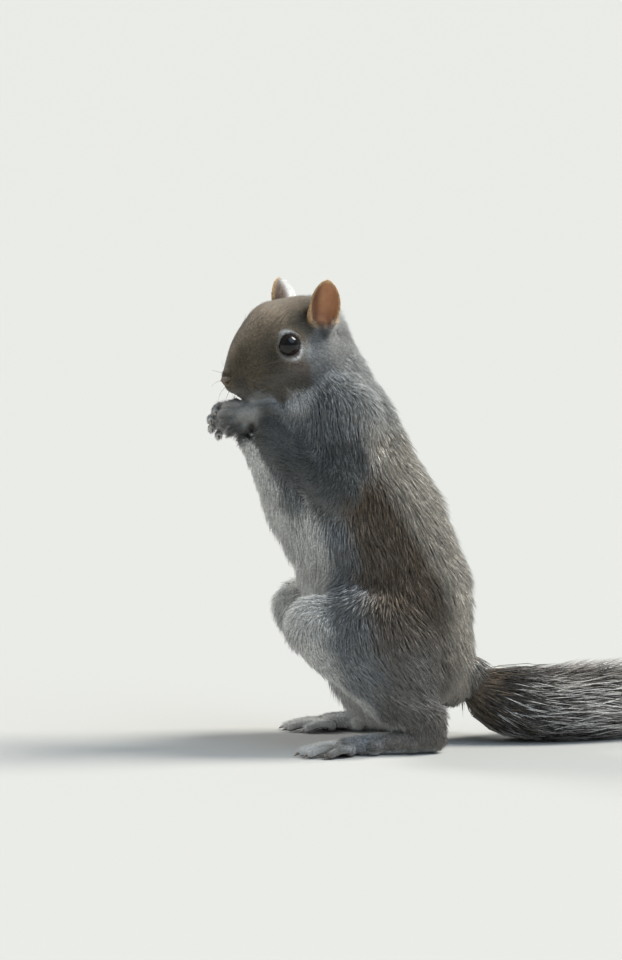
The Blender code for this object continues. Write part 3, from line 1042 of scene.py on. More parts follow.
    def chin(self, whole: BMesh) -> None:
        """Adds the soft flesh of the jaw, breast and snout to the shapes that become the skin."""
        chain(whole, [(skull_point(*centre), radius * MM) for *centre, radius in self.jaw])
        chain(whole, [(body_point(*centre), radius * MM) for *centre, radius in self.breast])
        for *centre, radius in self.snout:
            capsule(whole, [(skull_point(*centre), radius * MM)])

    def tail_core(self) -> Object:
        """The thin tail itself, inside the bush."""
        along = np.linspace(TAIL_LINE.core_start, TAIL_LINE.flesh, TAIL_LINE.core_steps)
        points = TAIL_LINE.points(along)
        lowered = TAIL_LINE.core_drop * TAIL_LINE.bush(along)[1]
        points[:, 2] -= lowered * rise(along, 0.0, TAIL_LINE.core_ease)
        thick, taper = TAIL_LINE.core
        radii = thick - taper * np.clip(along, 0, 1) / TAIL_LINE.flesh
        line = [body_point(*point) for point in points]
        return tube(line, list(radii * MM), sides=4)

    def build(self, finish: Material) -> Object:
        """Makes the skin.

        Args:
            finish: Its material.

        Returns:
            The skin, which replaces every solid of flesh.
        """
        whole = bmesh.new()
        add_object(whole, self.trunk())
        add_object(whole, self.tail_core())
        self.chin(whole)
        for paw in self.paws:
            paw.build(whole)
        for side in SIDES.values():
            Ear(side).build(whole)
        for eye in self.eyes.values():
            add_object(whole, eye.lids())
            eye.socket(whole)
        item = as_object("skin", whole)
        fuse(item, self.fine, self.smoothing[1])
        points = positions(item.data)
        for eye in self.eyes.values():
            points = eye.open_skin(points)
        points = self.face_folds(points, normals(item.data))
        points[:, 2] = np.maximum(points[:, 2], 0.0)
        set_positions(item.data, points)
        fewer = item.modifiers.new("fewer", "DECIMATE")
        fewer.ratio = min(1.0, self.faces / (2 * len(item.data.polygons)))
        settle(item)
        whole = bmesh.new()
        whole.from_mesh(item.data)
        bmesh.ops.triangulate(whole, faces=whole.faces)
        whole.to_mesh(item.data)
        whole.free()
        finished(item, finish, FLESH)
        return item

    def face_folds(self, points: Array, facing: Array) -> Array:
        """Presses the line of the mouth and the upper lip's cleft into the skin."""
        local = in_skull(points)
        middle, reach = self.face
        near_face = np.linalg.norm(local - middle, axis=1) < reach
        grooves = []
        for side, line, (deep, wide) in ((on_left(local), self.mouth, self.mouth_groove),
                                         (local, self.cleft, self.cleft_groove)):
            grooves.append(deep * np.exp(-((path_distance(side, line) / wide) ** 2)))
        return points - facing * (np.max(grooves, axis=0) * near_face)[:, None] * MM


# ---- how the hair lies


@dataclass(frozen=True)
class Lie:
    """Which way the hair lies: lines through the body that the hair near them follows.

    Each line is its points, in the animal's own directions, and how far it reaches.
    """

    middle: tuple = (
        (((0, 4, 164), (0, -6, 146), (0, -20, 118), (0, -36, 88), (0, -44, 55), (0, -40, 25)), 14),
        (((0, 40, 146), (0, 46, 132), (0, 44, 112), (0, 34, 84), (0, 24, 50), (0, 16, 16)), 14),
    )
    mirrored: tuple = (
        (((16, 14, 156), (20, 4, 138), (27, -2, 112), (34, -6, 84), (38, -18, 56), (34, -34, 26)), 13),
        (((12, 20, 150), (20, 14, 138), (27, 15, 118), (28, 16, 106)), 9),
        (((26, 18, 106), (17, 31, 120), (9, 45, 130), (8, 58, 134)), 7),
        (((37, 2, 62), (38, 6, 54), (38, -3, 40), (35, -16, 22)), 13),
        (((33, 4, 66), (34, 16, 64), (35, 27, 59), (36, 31, 53), (36, 27, 44), (36, 8, 30), (34, -16, 14)),
         9),
        (((33, -22, 10), (35, 0, 6), (38, 20, 4), (40, 34, 2)), 7),
    )
    nose: tuple = (0, 27.5, -8.5)
    back: tuple = (0, -0.55, 0.0)
    skull: tuple = ((0, 2, -3), 21.5)
    ear: tuple = (0, 0.35, 1)

    def lines(self) -> list[tuple[Array, Array, float]]:
        """Every straight stretch of every line, with how far it reaches."""
        found = []
        for sides, group in (((1,), self.middle), (SIDES.values(), self.mirrored)):
            for side in sides:
                for path, reach in group:
                    ends = np.array(path, float) * (side, 1, 1)
                    found += [(first, second, reach) for first, second in zip(ends, ends[1:])]
        return found

    def directions(self, points: Array, facing: Array, tail: Array, ears: Array) -> Array:
        """The direction of the hair at points of the skin, before it is evened out.

        Args:
            points: Points of the skin, in metres.
            facing: The skin's normals there.
            tail: Which points are on the tail.
            ears: Which points are on the ears.

        Returns:
            Unit vectors along the skin.
        """
        local = own(points)
        total = np.zeros_like(points)
        for first, second, reach in self.lines():
            weight = np.exp(-((segment_distance(local, first, second) / reach) ** 2)) + 1e-6
            way = (second - first) / np.linalg.norm(second - first) * FLIP
            total += weight[:, None] * way
        total = unit(total)
        skull = in_skull(points)
        from_nose = unit(skull - self.nose) + self.back
        middle, reach = self.skull
        head = np.exp(-(np.linalg.norm(skull - middle, axis=1) / reach) ** 4)[:, None]
        total = unit(total * (1 - head) + turned(unit(from_nose), SKULL_FRAME) * head)
        total = np.where(tail[:, None], TAIL_LINE.ahead(TAIL_LINE.along(local)) * FLIP, total)
        upward = np.array(SKULL_FRAME.to_3x3() @ Vector(self.ear))
        total = np.where(ears[:, None], upward, total)
        return self.along_skin(total, facing)

    @staticmethod
    def along_skin(ways: Array, facing: Array) -> Array:
        """Directions laid flat on the skin."""
        return unit(ways - np.sum(ways * facing, axis=1, keepdims=True) * facing)


# ---- markings


@dataclass(frozen=True)
class Zone:
    """Where a marking lies: the bands of values that hold it, and its share where it is fullest.

    A band is the name of a value and the bounds between which a smooth step rises from 0 to 1 in it.
    """

    bands: tuple[tuple[str, float, float], ...]
    most: float = 1.0

    def at(self, values: Values) -> Array:
        """The marking's share at points, from the values there."""
        return self.most * math.prod(rise(values[name], low, high) for name, low, high in self.bands)


@dataclass(frozen=True)
class Spot:
    """A soft round patch of the head, the same on both sides."""

    centre: Triple
    radius: float
    most: float = 1.0
    core: float = 0.4

    def at(self, skull: Array) -> Array:
        """The patch's share at points in the skull's own directions."""
        return self.most * nearness(on_left(skull), self.centre, self.radius, self.radius * self.core)


@dataclass(frozen=True)
class Markings:
    """Where each marking of the coat lies, as shares from 0 to 1 at points of the skin."""

    eyes: tuple[Eye, ...]
    heights: tuple = (6, 36, 64, 96, 116, 136, 160)
    middles: tuple = (-12, -12, -7, 4.5, 15, 19, 24)
    face_heights: tuple = (-24, -16, -8, 0, 8, 16)
    face_edges: tuple = (2.0, -0.5, -2.5, -7.8, -13.5, -18)
    face_softness: float = 2.5
    # The arms' bones, round which the arms' painted shade lies.
    bones: tuple = ((24, 13, 124), (28, 15, 112), (27, 19, 107), (18, 31, 119), (10, 43, 129))
    bone_reach: tuple = (11.0, 11.5, 11.5, 9.5)
    bone_band: Pair = (1.0, 0.6)
    head: Zone = Zone((("skull_ahead", -16, -8), ("from_skull", 42, 34)))
    tail: Zone = Zone((("along", -0.005, 0.05), ("from_tail", 22, 12), ("forward", -34, -42)))
    # The back's strip, where the back's colours carry painted rim light.
    back: Zone = Zone((("around", 1.9, 2.45),))
    # The flank's band, darkened as painted shade.
    flank_and_shade: Zone = Zone((("around", 1.12, 1.4), ("around", 2.5, 2.1), ("up", 122, 108)))
    arm_side: Zone = Zone((("outward", -0.5, 0.1),))
    crown: Zone = Zone((("skull_high", 3.5, 11.0),))
    toes: Zone = Zone((("forward", 6, 20), ("up", 14, 9)))
    # The hands' outer sides, which take the hands' painted shade.
    hand: Zone = Zone((("forward", 40, 46), ("up", 148, 143), ("up", 122, 127), ("outward", -0.5, 0.1)))
    soles: Zone = Zone((("upward", -0.45, -0.75), ("up", 3.5, 2.2), ("forward", 2, 8)))
    belly: Zone = Zone((("around", 1.0, 0.78), ("up", 150, 142)))
    elbow: Zone = Zone((("side", 9, 12), ("up", 100, 106), ("forward", 24, 28)))
    inner: Zone = Zone((("outward", -0.25, -0.6), ("side", 44, 38), ("up", 75, 68)))
    under: Zone = Zone((("upward", -0.45, -0.8), ("up", 40, 30), ("forward", -30, -20)))
    wrist: Zone = Zone((("forward", 43, 47), ("up", 124, 127)))
    # Pale on the fingers' inner sides: pale fur, whitened further as painted back light.
    fingers_and_back_light: Zone = Zone((("outward", -0.1, -0.5), ("up", 148, 143)), 0.9)
    # Pale on the back of the neck: painted sunlit rim light.
    nape_rim_light: Zone = Zone((("around", 1.7, 2.3), ("up", 128, 142)), 0.38)
    neck: Zone = Zone((("up", 126, 146),), 0.75)
    thigh: Zone = Zone((("up", 70, 40),), 0.45)
    # Less white on the upper breast: painted shade.
    breast: Zone = Zone((("up", 128, 140),), 0.75)
    forearm: Pair = (9.0, 7.0)
    forearm_side: Zone = Zone((("side", 2.5, 5.0),))
    chin: Zone = Zone((("skull_up", -17.5, -20.5), ("skull_forward", -6, 0), ("skull_side", 8.5, 5.0)), 0.45)
    throat: Zone = Zone((("skull_up", -18.6, -20.6),), 0.62)
    jaw: Zone = Zone((("skull_up", -21.8, -18.8),))
    temple: Zone = Zone((("skull_up", 5.0, 14.0),), 2.5)
    cheek_spot: Spot = Spot((10, 7, -15), 11)
    rufous_spot: Spot = Spot((14.0, 1.5, -11.5), 5.5)
    throat_spot: Spot = Spot((13.5, 2.5, -20.8), 7.0)
    # Under each ear and beside the nose: darker patches, partly dark hair and partly painted shade.
    ear_spot: Spot = Spot((15.0, -13.5, -1.5), 4.2, 0.6)
    muzzle_spot: Spot = Spot((5.8, 23.2, -12.2), 4.2, 0.65)
    # Less white on the head: painted shade.
    head_white_shade: float = 0.5
    ear_foot: float = 0.7
    # How strong the ears' painted shade is, inside and outside, at their front.
    ear_shade: Pair = (0.75, 0.35)
    ear_rufous: float = 0.9
    ring: Zone = Zone((("from_eye", 9.5, 8.0),))
    ring_width: float = 6.3
    ring_drop: float = 0.5
    ring_edge: float = 0.4
    ring_behind: Zone = Zone((("front", 0.2, -0.8),), 0.4)
    ring_low: Zone = Zone((("down", 0.0, 0.8),))
    # The ring's painted light below the eye, and its painted shade at the front and rear.
    ring_painted_light: float = 1.3
    ring_front_shade: Zone = Zone((("front", -0.25, 0.6),), 0.8)
    rear_gap: Zone = Zone((("front", -0.2, -0.9),), 0.5)
    ring_shares: Pair = (0.3, 0.8)
    lids: Zone = Zone((("from_eye", 8.0, 7.0),))
    lid_edge: Pair = (0.5, 0.25)
    wander: tuple = (9.0, 11)
    wander_reach: Pair = (1.1, 0.5)
    flattening: float = 1.05
    slope: float = 0.35

    def shares(self, points: Array, facing: Array) -> dict[Mark, Array]:
        """The share of every marking at points of the skin.

        Args:
            points: Points of the skin, in metres.
            facing: The skin's normals there.

        Returns:
            For each marking, one share for each point.
        """
        wander = ripple(points / MM, *self.wander)
        local = own(points) + self.wander_reach[0] * wander
        skull = in_skull(points) + self.wander_reach[1] * wander
        side, forward, up = on_left(local).T
        middle = np.interp(up, self.heights, self.middles)
        along = TAIL_LINE.along(local)
        ahead = facing * FLIP
        values = {
            "side": side, "forward": forward, "up": up, "along": along,
            "around": np.arctan2(side, (forward - middle) * self.flattening),
            "upward": ahead[:, 2], "outward": ahead[:, 0] * np.sign(local[:, 0]),
            "from_tail": np.linalg.norm(local - TAIL_LINE.points(along), axis=1),
            "skull_side": np.abs(skull[:, 0]), "skull_forward": skull[:, 1], "skull_up": skull[:, 2],
            "skull_ahead": skull[:, 1] + self.slope * skull[:, 2],
            "skull_high": skull[:, 2] + self.slope * skull[:, 1],
            "from_skull": np.linalg.norm(skull, axis=1),
        }
        head, tail, face = self.head.at(values), self.tail.at(values), self.face(values)
        trunk = (1 - head) * (1 - tail)
        found = {mark: np.zeros(len(points)) for mark in Mark}
        found.update({
            Mark.BACK: self.back.at(values) * trunk * (1 - self.neck.at(values)),
            Mark.FLANK_AND_SHADE: self.flank_and_shade.at(values) * (1 - self.thigh.at(values)) * trunk,
            Mark.ARM: self.arm(values),
            Mark.FACE: face,
            Mark.CROWN: face * self.crown.at(values),
            Mark.CHEEK: self.cheek_spot.at(skull),
            Mark.RUFOUS: self.rufous_spot.at(skull),
            Mark.PAW: self.toes.at(values),
            Mark.HAND: self.hand.at(values),
            Mark.PALE: self.pale(skull, values, head) * (1 - tail),
            Mark.DARK_HAIR_AND_SHADE: np.maximum(self.ear_spot.at(skull), self.muzzle_spot.at(skull)),
            Mark.TAIL: tail,
            Mark.BARE: self.soles.at(values),
        })
        self.add_ears(found, points, facing)
        self.add_eyes(found, points)
        return found

    @staticmethod
    def add(found: dict[Mark, Array], mark: Mark, share: Array) -> None:
        """Raises a marking to at least a share."""
        found[mark] = np.maximum(found[mark], share)

    def add_ears(self, found: dict[Mark, Array], points: Array, facing: Array) -> None:
        """Adds the ears' bare insides with painted glow and with painted shade in front, pale rims with
        painted glow, and outer sides that are brown in front, with painted shade there.
        """
        for side in SIDES.values():
            inner, outer, rim, foot, front = Ear(side).faces(points, facing).values()
            for mark in (Mark.FACE, Mark.CROWN):
                found[mark] = found[mark] * (1 - np.maximum(outer, self.ear_foot * foot))
            self.add(found, Mark.EAR, inner)
            self.add(found, Mark.RIM, rim)
            deep, thin = self.ear_shade
            self.add(found, Mark.SHADE, np.maximum(deep * inner, thin * outer) * front)
            self.add(found, Mark.RUFOUS, self.ear_rufous * outer * front)
            self.add(found, Mark.PALE, outer * (1 - front))

    def add_eyes(self, found: dict[Mark, Array], points: Array) -> None:
        """Adds the pale rings round the eyes, widest below and brighter there as painted light, dimmer at the
        front and rear as painted shade, and the bare lids.
        """
        ring = np.zeros(len(points))
        for eye in self.eyes:
            distance, angle, turned_by = eye.polar(points)
            arc = SKULL.eye_radius * angle
            down = eye.side * np.sin(turned_by)
            values = {"down": down, "front": np.cos(turned_by), "from_eye": distance}
            low = self.ring_low.at(values)
            width = self.ring_width - self.ring_drop * down - self.ring_behind.at(values)
            band = rise(arc, width + self.ring_edge, width - self.ring_edge) * self.ring.at(values)
            dim = self.ring_front_shade.at(values) + self.rear_gap.at(values) * (1 - low)
            ring = np.maximum(ring, band * (1 - dim) * (1 + self.ring_painted_light * low))
            edge = SKULL.eye_radius * eye.half_opening(turned_by)
            bare = rise(arc, *(edge + beyond for beyond in self.lid_edge))
            self.add(found, Mark.BARE, bare * self.lids.at(values))
        white, cover = self.ring_shares
        self.add(found, Mark.PALE, white * ring)
        for mark in (Mark.FACE, Mark.CROWN, Mark.RUFOUS):
            found[mark] = found[mark] * (1 - cover * np.minimum(ring, 1.0))

    def face(self, values: Values) -> Array:
        """The brown of the face and crown, which ends behind the eyes and between the ears."""
        edge = np.interp(values["skull_up"], self.face_heights, self.face_edges)
        soft = self.face_softness + self.temple.at(values)
        return rise((values["skull_forward"] - edge) / soft, -1.0, 1.0) * self.jaw.at(values)

    @staticmethod
    def folded(values: Values) -> Array:
        """Points in the animal's directions, all on its left."""
        return np.stack([values["side"], values["forward"], values["up"]], axis=-1)

    def arm(self, values: Values) -> Array:
        """Painted shade on the arms' outer sides, down to the wrists, as a darker grey."""
        bones, points = np.array(self.bones, float), self.folded(values)
        near = [segment_distance(points, a, b) / r for a, b, r in zip(bones, bones[1:], self.bone_reach)]
        return rise(np.min(near, axis=0), *self.bone_band) * self.arm_side.at(values)

    def pale(self, skull: Array, values: Values, head: Array) -> Array:
        """The white of the chin, throat, chest and belly, and of the legs' inner sides; painted rim light on
        the nape; pale fingers with painted back light; and painted shade that greys the white on the upper
        breast and the head.

        Args:
            skull: Points of the skin in the skull's own directions.
            values: The values that the zones are in.
            head: The share of the head at the points.

        Returns:
            The share of white at each point.
        """
        white = self.belly.at(values) * (1 - self.elbow.at(values)) * (1 - self.breast.at(values))
        white = np.maximum(white, np.maximum(self.inner.at(values), self.under.at(values)))
        forearm = rise(path_distance(self.folded(values), HAND_LINE), *self.forearm)
        white *= 1 - forearm * self.forearm_side.at(values)
        wrist = self.wrist.at(values)
        white = np.maximum(white * (1 - wrist), wrist * self.fingers_and_back_light.at(values))
        white *= 1 - self.head_white_shade * head
        nape_rim_light, chin = self.nape_rim_light.at(values) * (1 - head), self.chin.at(values) * head
        throat = self.throat_spot.at(skull) * self.throat.at(values)
        return np.maximum(np.maximum(white, nape_rim_light), np.maximum(chin, throat))


# ---- coat


class Region(Enum):
    """The pieces that the coat is made in, by the kinds of solid that they cover."""

    HEAD = ("head", "lower_jaw", "ear")
    NECK = ("neck", "chest")
    TRUNK = ("belly", "rump")
    ARMS = ("upper_arm", "forearm")
    LEGS = ("thigh", "shank")
    PAWS = ("forepaw", "hind_foot")
    TAIL = ("tail",)


@dataclass
class Field:
    """What the coat needs to know at each vertex of the skin."""

    points: Array
    facing: Array
    ways: Array
    pelts: Array
    owner: Array
    corners: Array


@dataclass
class Roots:
    """Where tufts grow: their places, directions, sizes, markings and places on the skin's unwrap."""

    points: Array
    facing: Array
    ways: Array
    pelts: Array
    unwrap: Array


@dataclass(frozen=True)
class Tufts:
    """Turns roots into closed three-sided tufts in one mesh.

    A tuft has a ring of three points at each share of its length, and a point at its tip.
    """

    shares: tuple[float, ...]
    widths: tuple[float, ...]
    flatness: float = 0.6
    lowest: float = 0.05
    patch: float = 0.003
    margin: float = 0.002
    spread: float = 0.993
    corners: int = 3

    def faces(self) -> tuple[Array, Array, Array]:
        """One tuft's face corners, where its faces start, and its corners' places in a patch."""
        corners: list[int] = []
        starts: list[int] = []
        patches: list[Pair] = []
        places = [*self.shares, 1.0]
        for ring, (base, top) in enumerate(zip(places, places[1:])):
            low, high = ring * self.corners, (ring + 1) * self.corners
            for number in range(self.corners):
                after = (number + 1) % self.corners
                left, right = number / self.corners, (number + 1) / self.corners
                starts.append(len(corners))
                corners += [low + number, low + after]
                patches += [(left, base), (right, base)]
                if top < 1.0:
                    corners += [high + after, high + number]
                    patches += [(right, top), (left, top)]
                else:
                    corners.append(high)
                    patches.append(((left + right) / 2, 1.0))
        starts.append(len(corners))
        corners += [2, 1, 0]
        patches += [(0.0, 0.0), (1.0, 0.0), (0.5, 0.1)]
        return np.array(corners), np.array(starts), np.array(patches)

    def mesh(self, name: str, lines: Array, across: Array, over: Array, widths: Array,
             unwrap: Array, values: Values) -> Mesh:
        """Makes the mesh of all tufts.

        Args:
            name: The mesh's name.
            lines: Each tuft's centre line: a point for each ring, then its tip.
            across: The direction across each tuft, along the skin.
            over: The direction out of the skin at each tuft.
            widths: Each tuft's widest radius.
            unwrap: Each root's place on the skin's unwrap.
            values: Numbers to keep for the material, one for each tuft.

        Returns:
            The mesh, with a UV map and with float attributes.
        """
        count, rings = len(lines), len(self.shares)
        angles = np.pi / 2 + 2 * np.pi * np.arange(self.corners) / self.corners
        profile = np.array(self.widths)[None, :, None, None] * widths[:, None, None, None]
        around = np.cos(angles)[None, None, :, None] * across[:, None, None, :]
        around = around + self.flatness * np.sin(angles)[None, None, :, None] * over[:, None, None, :]
        rows = lines[:, :rings, None, :] + profile * around
        points = np.concatenate([rows.reshape(count, -1, 3), lines[:, rings:, :]], axis=1)
        points[:, :, 2] = np.maximum(points[:, :, 2], self.lowest * MM)
        each = points.shape[1]
        corners, starts, patches = self.faces()
        every = (corners[None, :] + np.arange(count)[:, None] * each).ravel()
        begins = (starts[None, :] + np.arange(count)[:, None] * len(corners)).ravel()
        mesh = raw_mesh(name, points.reshape(-1, 3), every, begins)
        layer = mesh.uv_layers.new(name="OFBake")
        places = self.margin + self.spread * unwrap[:, None, :] + (patches[None] - (0.5, 0.0)) * self.patch
        layer.data.foreach_set("uv", np.clip(places, 0, 1).ravel())
        shares = np.concatenate([np.repeat(self.shares, self.corners), [1.0]])
        self.store(mesh, "along", np.tile(shares, count))
        for key, numbers in values.items():
            self.store(mesh, key, np.repeat(numbers, each))
        return mesh

    @staticmethod
    def store(mesh: Mesh, name: str, numbers: Array) -> None:
        """Keeps a number for each vertex as an attribute."""
        attribute = mesh.attributes.new(name, "FLOAT", "POINT")
        attribute.data.foreach_set("value", numbers.astype(np.float32))


class Plan(NamedTuple):
    """How a region of the coat is made: its tufts, how many and in how many pieces, and its locks' pull."""

    tuft: Tufts
    count: int
    pieces: int
    gather: float


SHORT_TUFT = Tufts((0.0,), (1.0,))
LONG_TUFT = Tufts((0.0, 0.5), (0.8, 1.0))
TAIL_TUFT = Tufts((0.0, 0.35, 0.7), (0.7, 1.0, 0.85))
PLANS = {
    Region.HEAD: Plan(SHORT_TUFT, 90_000, 2, 0.2),
    Region.NECK: Plan(LONG_TUFT, 26_000, 2, 0.25),
    Region.TRUNK: Plan(LONG_TUFT, 28_000, 2, 0.35),
    Region.ARMS: Plan(LONG_TUFT, 16_000, 1, 0.3),
    Region.LEGS: Plan(LONG_TUFT, 19_500, 1, 0.3),
    Region.PAWS: Plan(SHORT_TUFT, 22_000, 1, 0.15),
    Region.TAIL: Plan(TAIL_TUFT, 12_000, 1, 0.0),
}


@dataclass
class Coat:
    """The animal's hair, as tufts over the skin that lie the way the real hair lies.

    Lengths are in millimetres. A pair holds the bounds of an even random spread.
    """

    skin: Object
    maker: Skin
    markings: Markings
    sink: float = 0.35
    clearance: float = 0.2
    lengths: Pair = (0.72, 1.12)
    lifts: Pair = (0.6, 1.4)
    girths: Pair = (0.75, 1.2)
    wave: float = 16.0
    sway: float = 0.16
    stray: float = 0.09
    rear: float = 1.35
    bend: float = 0.9
    lock: int = 12
    lock_reach: float = 2.2
    tail_reach: Pair = (20, 36)
    tail_fill: float = 1.02
    tail_inner: float = 0.75
    tail_stray: float = 0.3
    tail_bow: float = 0.42
    tail_ends: Pair = (-0.02, 0.02)
    tail_floor: float = 0.5
    tail_low: float = 0.35
    tail_crowding: float = 1.6
    tail_fan: float = 0.8
    tail_start: Pair = (-0.15, 0.12)
    fringe: Pair = (0.45, 0.95)
    lock_curve: float = 1.5
    island_angle: float = 70.0
    island_margin: float = 0.001
    seed: int = 7
    pelt_rounds: int = 60
    way_rounds: int = 30

    def __post_init__(self) -> None:
        """Reads the skin, works out the coat's numbers at its vertices and keeps the markings there."""
        mesh, maker = self.skin.data, self.maker
        self.random = np.random.default_rng(self.seed)
        self.kinds = np.array(maker.kinds)
        points, facing, edges = positions(mesh), normals(mesh), edges_of(mesh)
        owner = maker.finder.find(points)
        pelts = maker.pelts(points, edges, self.pelt_rounds)
        for side in SIDES.values():
            parts = Ear(side).faces(points, facing)
            for name, pelt in EAR_PELTS.items():
                pelts = toward(pelts, pelt, parts[name])
        tail = self.kinds[owner] == "tail"
        ears = self.kinds[owner] == "ear"
        ways = Lie().directions(points, facing, tail, ears)
        ways = Lie.along_skin(blur(ways, edges, self.way_rounds), facing)
        corners = read(mesh.loops, "vertex_index", 1, np.int32).reshape(-1, 3)
        self.field = Field(points, facing, ways, pelts, owner, corners)
        found = self.markings.shares(points, facing)
        pelts[:, 4] *= 1 - found[Mark.BARE]
        for mark, shares in found.items():
            Tufts.store(mesh, mark.value, shares)

    def unwrap(self, corners: Array) -> Array:
        """Unwraps a part of the skin by its own shape.

        Args:
            corners: The vertices of the part's triangles.

        Returns:
            The place of each triangle's corners on the unwrap.
        """
        used, small = np.unique(corners, return_inverse=True)
        starts = np.arange(0, corners.size, 3, dtype=np.int32)
        mesh = raw_mesh("unwrap", self.field.points[used], small.ravel(), starts)
        mesh.uv_layers.new(name="unwrap")
        item = link("unwrap", mesh)
        bpy.context.view_layer.objects.active = item
        item.select_set(True)
        bpy.ops.object.mode_set(mode="EDIT")
        bpy.ops.mesh.select_all(action="SELECT")
        angle = math.radians(self.island_angle)
        bpy.ops.uv.smart_project(angle_limit=angle, island_margin=self.island_margin)
        bpy.ops.object.mode_set(mode="OBJECT")
        places = read(mesh.uv_layers[0].data, "uv", 2)
        drop(item)
        bpy.data.meshes.remove(mesh)
        return places.reshape(-1, 3, 2)

    def roots(self, region: Region) -> Roots:
        """Spreads roots over a region of the skin, as closely as its pelt asks for."""
        whole = self.field
        kinds = self.kinds[whole.owner[whole.corners[:, 0]]]
        part = whole.corners[np.isin(kinds, region.value)]
        unwrap = self.unwrap(part)
        a, b, c = (whole.points[part[:, corner]] for corner in range(3))
        areas = np.linalg.norm(np.cross(b - a, c - a), axis=1)
        weights = np.cumsum(areas * whole.pelts[part, 4].mean(axis=1))
        count = PLANS[region].count
        picks = (np.arange(count) + self.random.random(count)) / count * weights[-1]
        faces = np.minimum(np.searchsorted(weights, picks), len(part) - 1)
        first, second = self.random.random((2, count))
        flip = first + second > 1
        first, second = np.where(flip, 1 - first, first), np.where(flip, 1 - second, second)
        shares = np.stack([1 - first - second, first, second], axis=1)[:, :, None]

        def mixed(values: Array) -> Array:
            """The values of the skin's vertices between the corners of the picked faces."""
            return (values[part[faces]] * shares).sum(axis=1)

        facing = unit(mixed(whole.facing))
        ways = Lie.along_skin(mixed(whole.ways), facing)
        places = (unwrap[faces] * shares).sum(axis=1)
        return Roots(mixed(whole.points), facing, ways, mixed(whole.pelts), places)

    def lines(self, roots: Roots, shares: tuple[float, ...], gather: float) -> Array:
        """The centre lines of body tufts, which rise from the skin and bend back towards it.

        Args:
            roots: Where the tufts grow.
            shares: The shares of the length at which each line has a point, before its tip.
            gather: How far the tips of a lock are drawn together, from 0 to 1.

        Returns:
            For each tuft, its points.
        """
        count = len(roots.points)
        length = roots.pelts[:, 1] * self.random.uniform(*self.lengths, count)
        lift = np.radians(roots.pelts[:, 2] * self.random.uniform(*self.lifts, count))
        sway = ripple(roots.points / MM, self.wave, 3) * self.sway
        sway = sway + self.random.normal(size=(count, 3)) * self.stray
        ways = Lie.along_skin(roots.ways + sway, roots.facing)
        start = roots.points - roots.facing * self.sink * MM
        line = [start]
        before = shares[0]
        for share in list(shares[1:]) + [1.0]:
            angle = lift * (self.rear - self.bend * (before + share) / 2)
            step = np.cos(angle)[:, None] * ways + np.sin(angle)[:, None] * roots.facing
            line.append(line[-1] + step * (length * (share - before))[:, None] * MM)
            before = share
        return self.gathered(np.stack(line, axis=1), roots, gather)

    def gathered(self, lines: Array, roots: Roots, gather: float) -> Array:
        """Lines drawn together at their tips, in locks of about a dozen."""
        count = len(lines)
        leaders = self.random.choice(count, max(1, count // self.lock), replace=False)
        tree = KDTree(len(leaders))
        for number, leader in enumerate(leaders):
            tree.insert(roots.points[leader], number)
        tree.balance()
        nearest = np.array([tree.find(point)[1] for point in roots.points])
        pull = roots.points[leaders[nearest]] - roots.points
        pull -= np.sum(pull * roots.facing, axis=1, keepdims=True) * roots.facing
        reach = np.linalg.norm(pull, axis=1, keepdims=True)
        pull *= np.minimum(1.0, self.lock_reach * MM / np.maximum(reach, 1e-9))
        share = np.linspace(0, 1, lines.shape[1]) ** self.lock_curve
        return lines + gather * pull[:, None, :] * share[None, :, None]

    def tail_lines(self, roots: Roots) -> tuple[Array, Array]:
        """The centre lines of the tail's long hair, which fills the bush from its middle out.

        Args:
            roots: Where the tufts grow on the thin tail.

        Returns:
            For each tuft, its points, and how far out to the side of the bush its tip is.
        """
        count = len(roots.points)
        local = own(roots.points)
        along = TAIL_LINE.along(local)
        offset = local - TAIL_LINE.points(along)
        around = np.arctan2(offset[:, 2], np.sum(offset * TAIL_LINE.across(along), axis=1))
        reach = self.random.uniform(*self.tail_reach, count) * rise(along, *self.tail_start)
        ends = np.minimum(along + reach / TAIL_LINE.length, 1.0)
        ends += self.random.uniform(*self.tail_ends, count)
        half_width, half_height = TAIL_LINE.bush(ends)
        fill = self.tail_fill - self.tail_inner * self.random.random(count) ** self.tail_crowding
        wobble = around + self.random.normal(size=count) * self.tail_stray
        tip = TAIL_LINE.points(ends)
        tip = tip + TAIL_LINE.across(ends) * (half_width * fill * np.cos(wobble))[:, None]
        tip[:, 2] += half_height * fill * np.sin(wobble)
        tip[:, 2] = np.maximum(tip[:, 2], self.tail_floor)
        outward = unit(roots.facing * FLIP + self.tail_fan * unit(tip - local))
        bow = local + outward * (self.tail_bow * np.linalg.norm(tip - local, axis=1))[:, None]
        points = []
        for share in list(TAIL_TUFT.shares) + [1.0]:
            near, middle, far = (1 - share) ** 2, 2 * share * (1 - share), share**2
            points.append(near * local + middle * bow + far * tip)
        stacked = np.stack(points, axis=1)
        stacked[:, :, 2] = np.maximum(stacked[:, :, 2], self.tail_low)
        fringe = rise(np.abs(fill * np.cos(wobble)), *self.fringe)
        return stacked * FLIP * MM + np.array(SHIFT), fringe

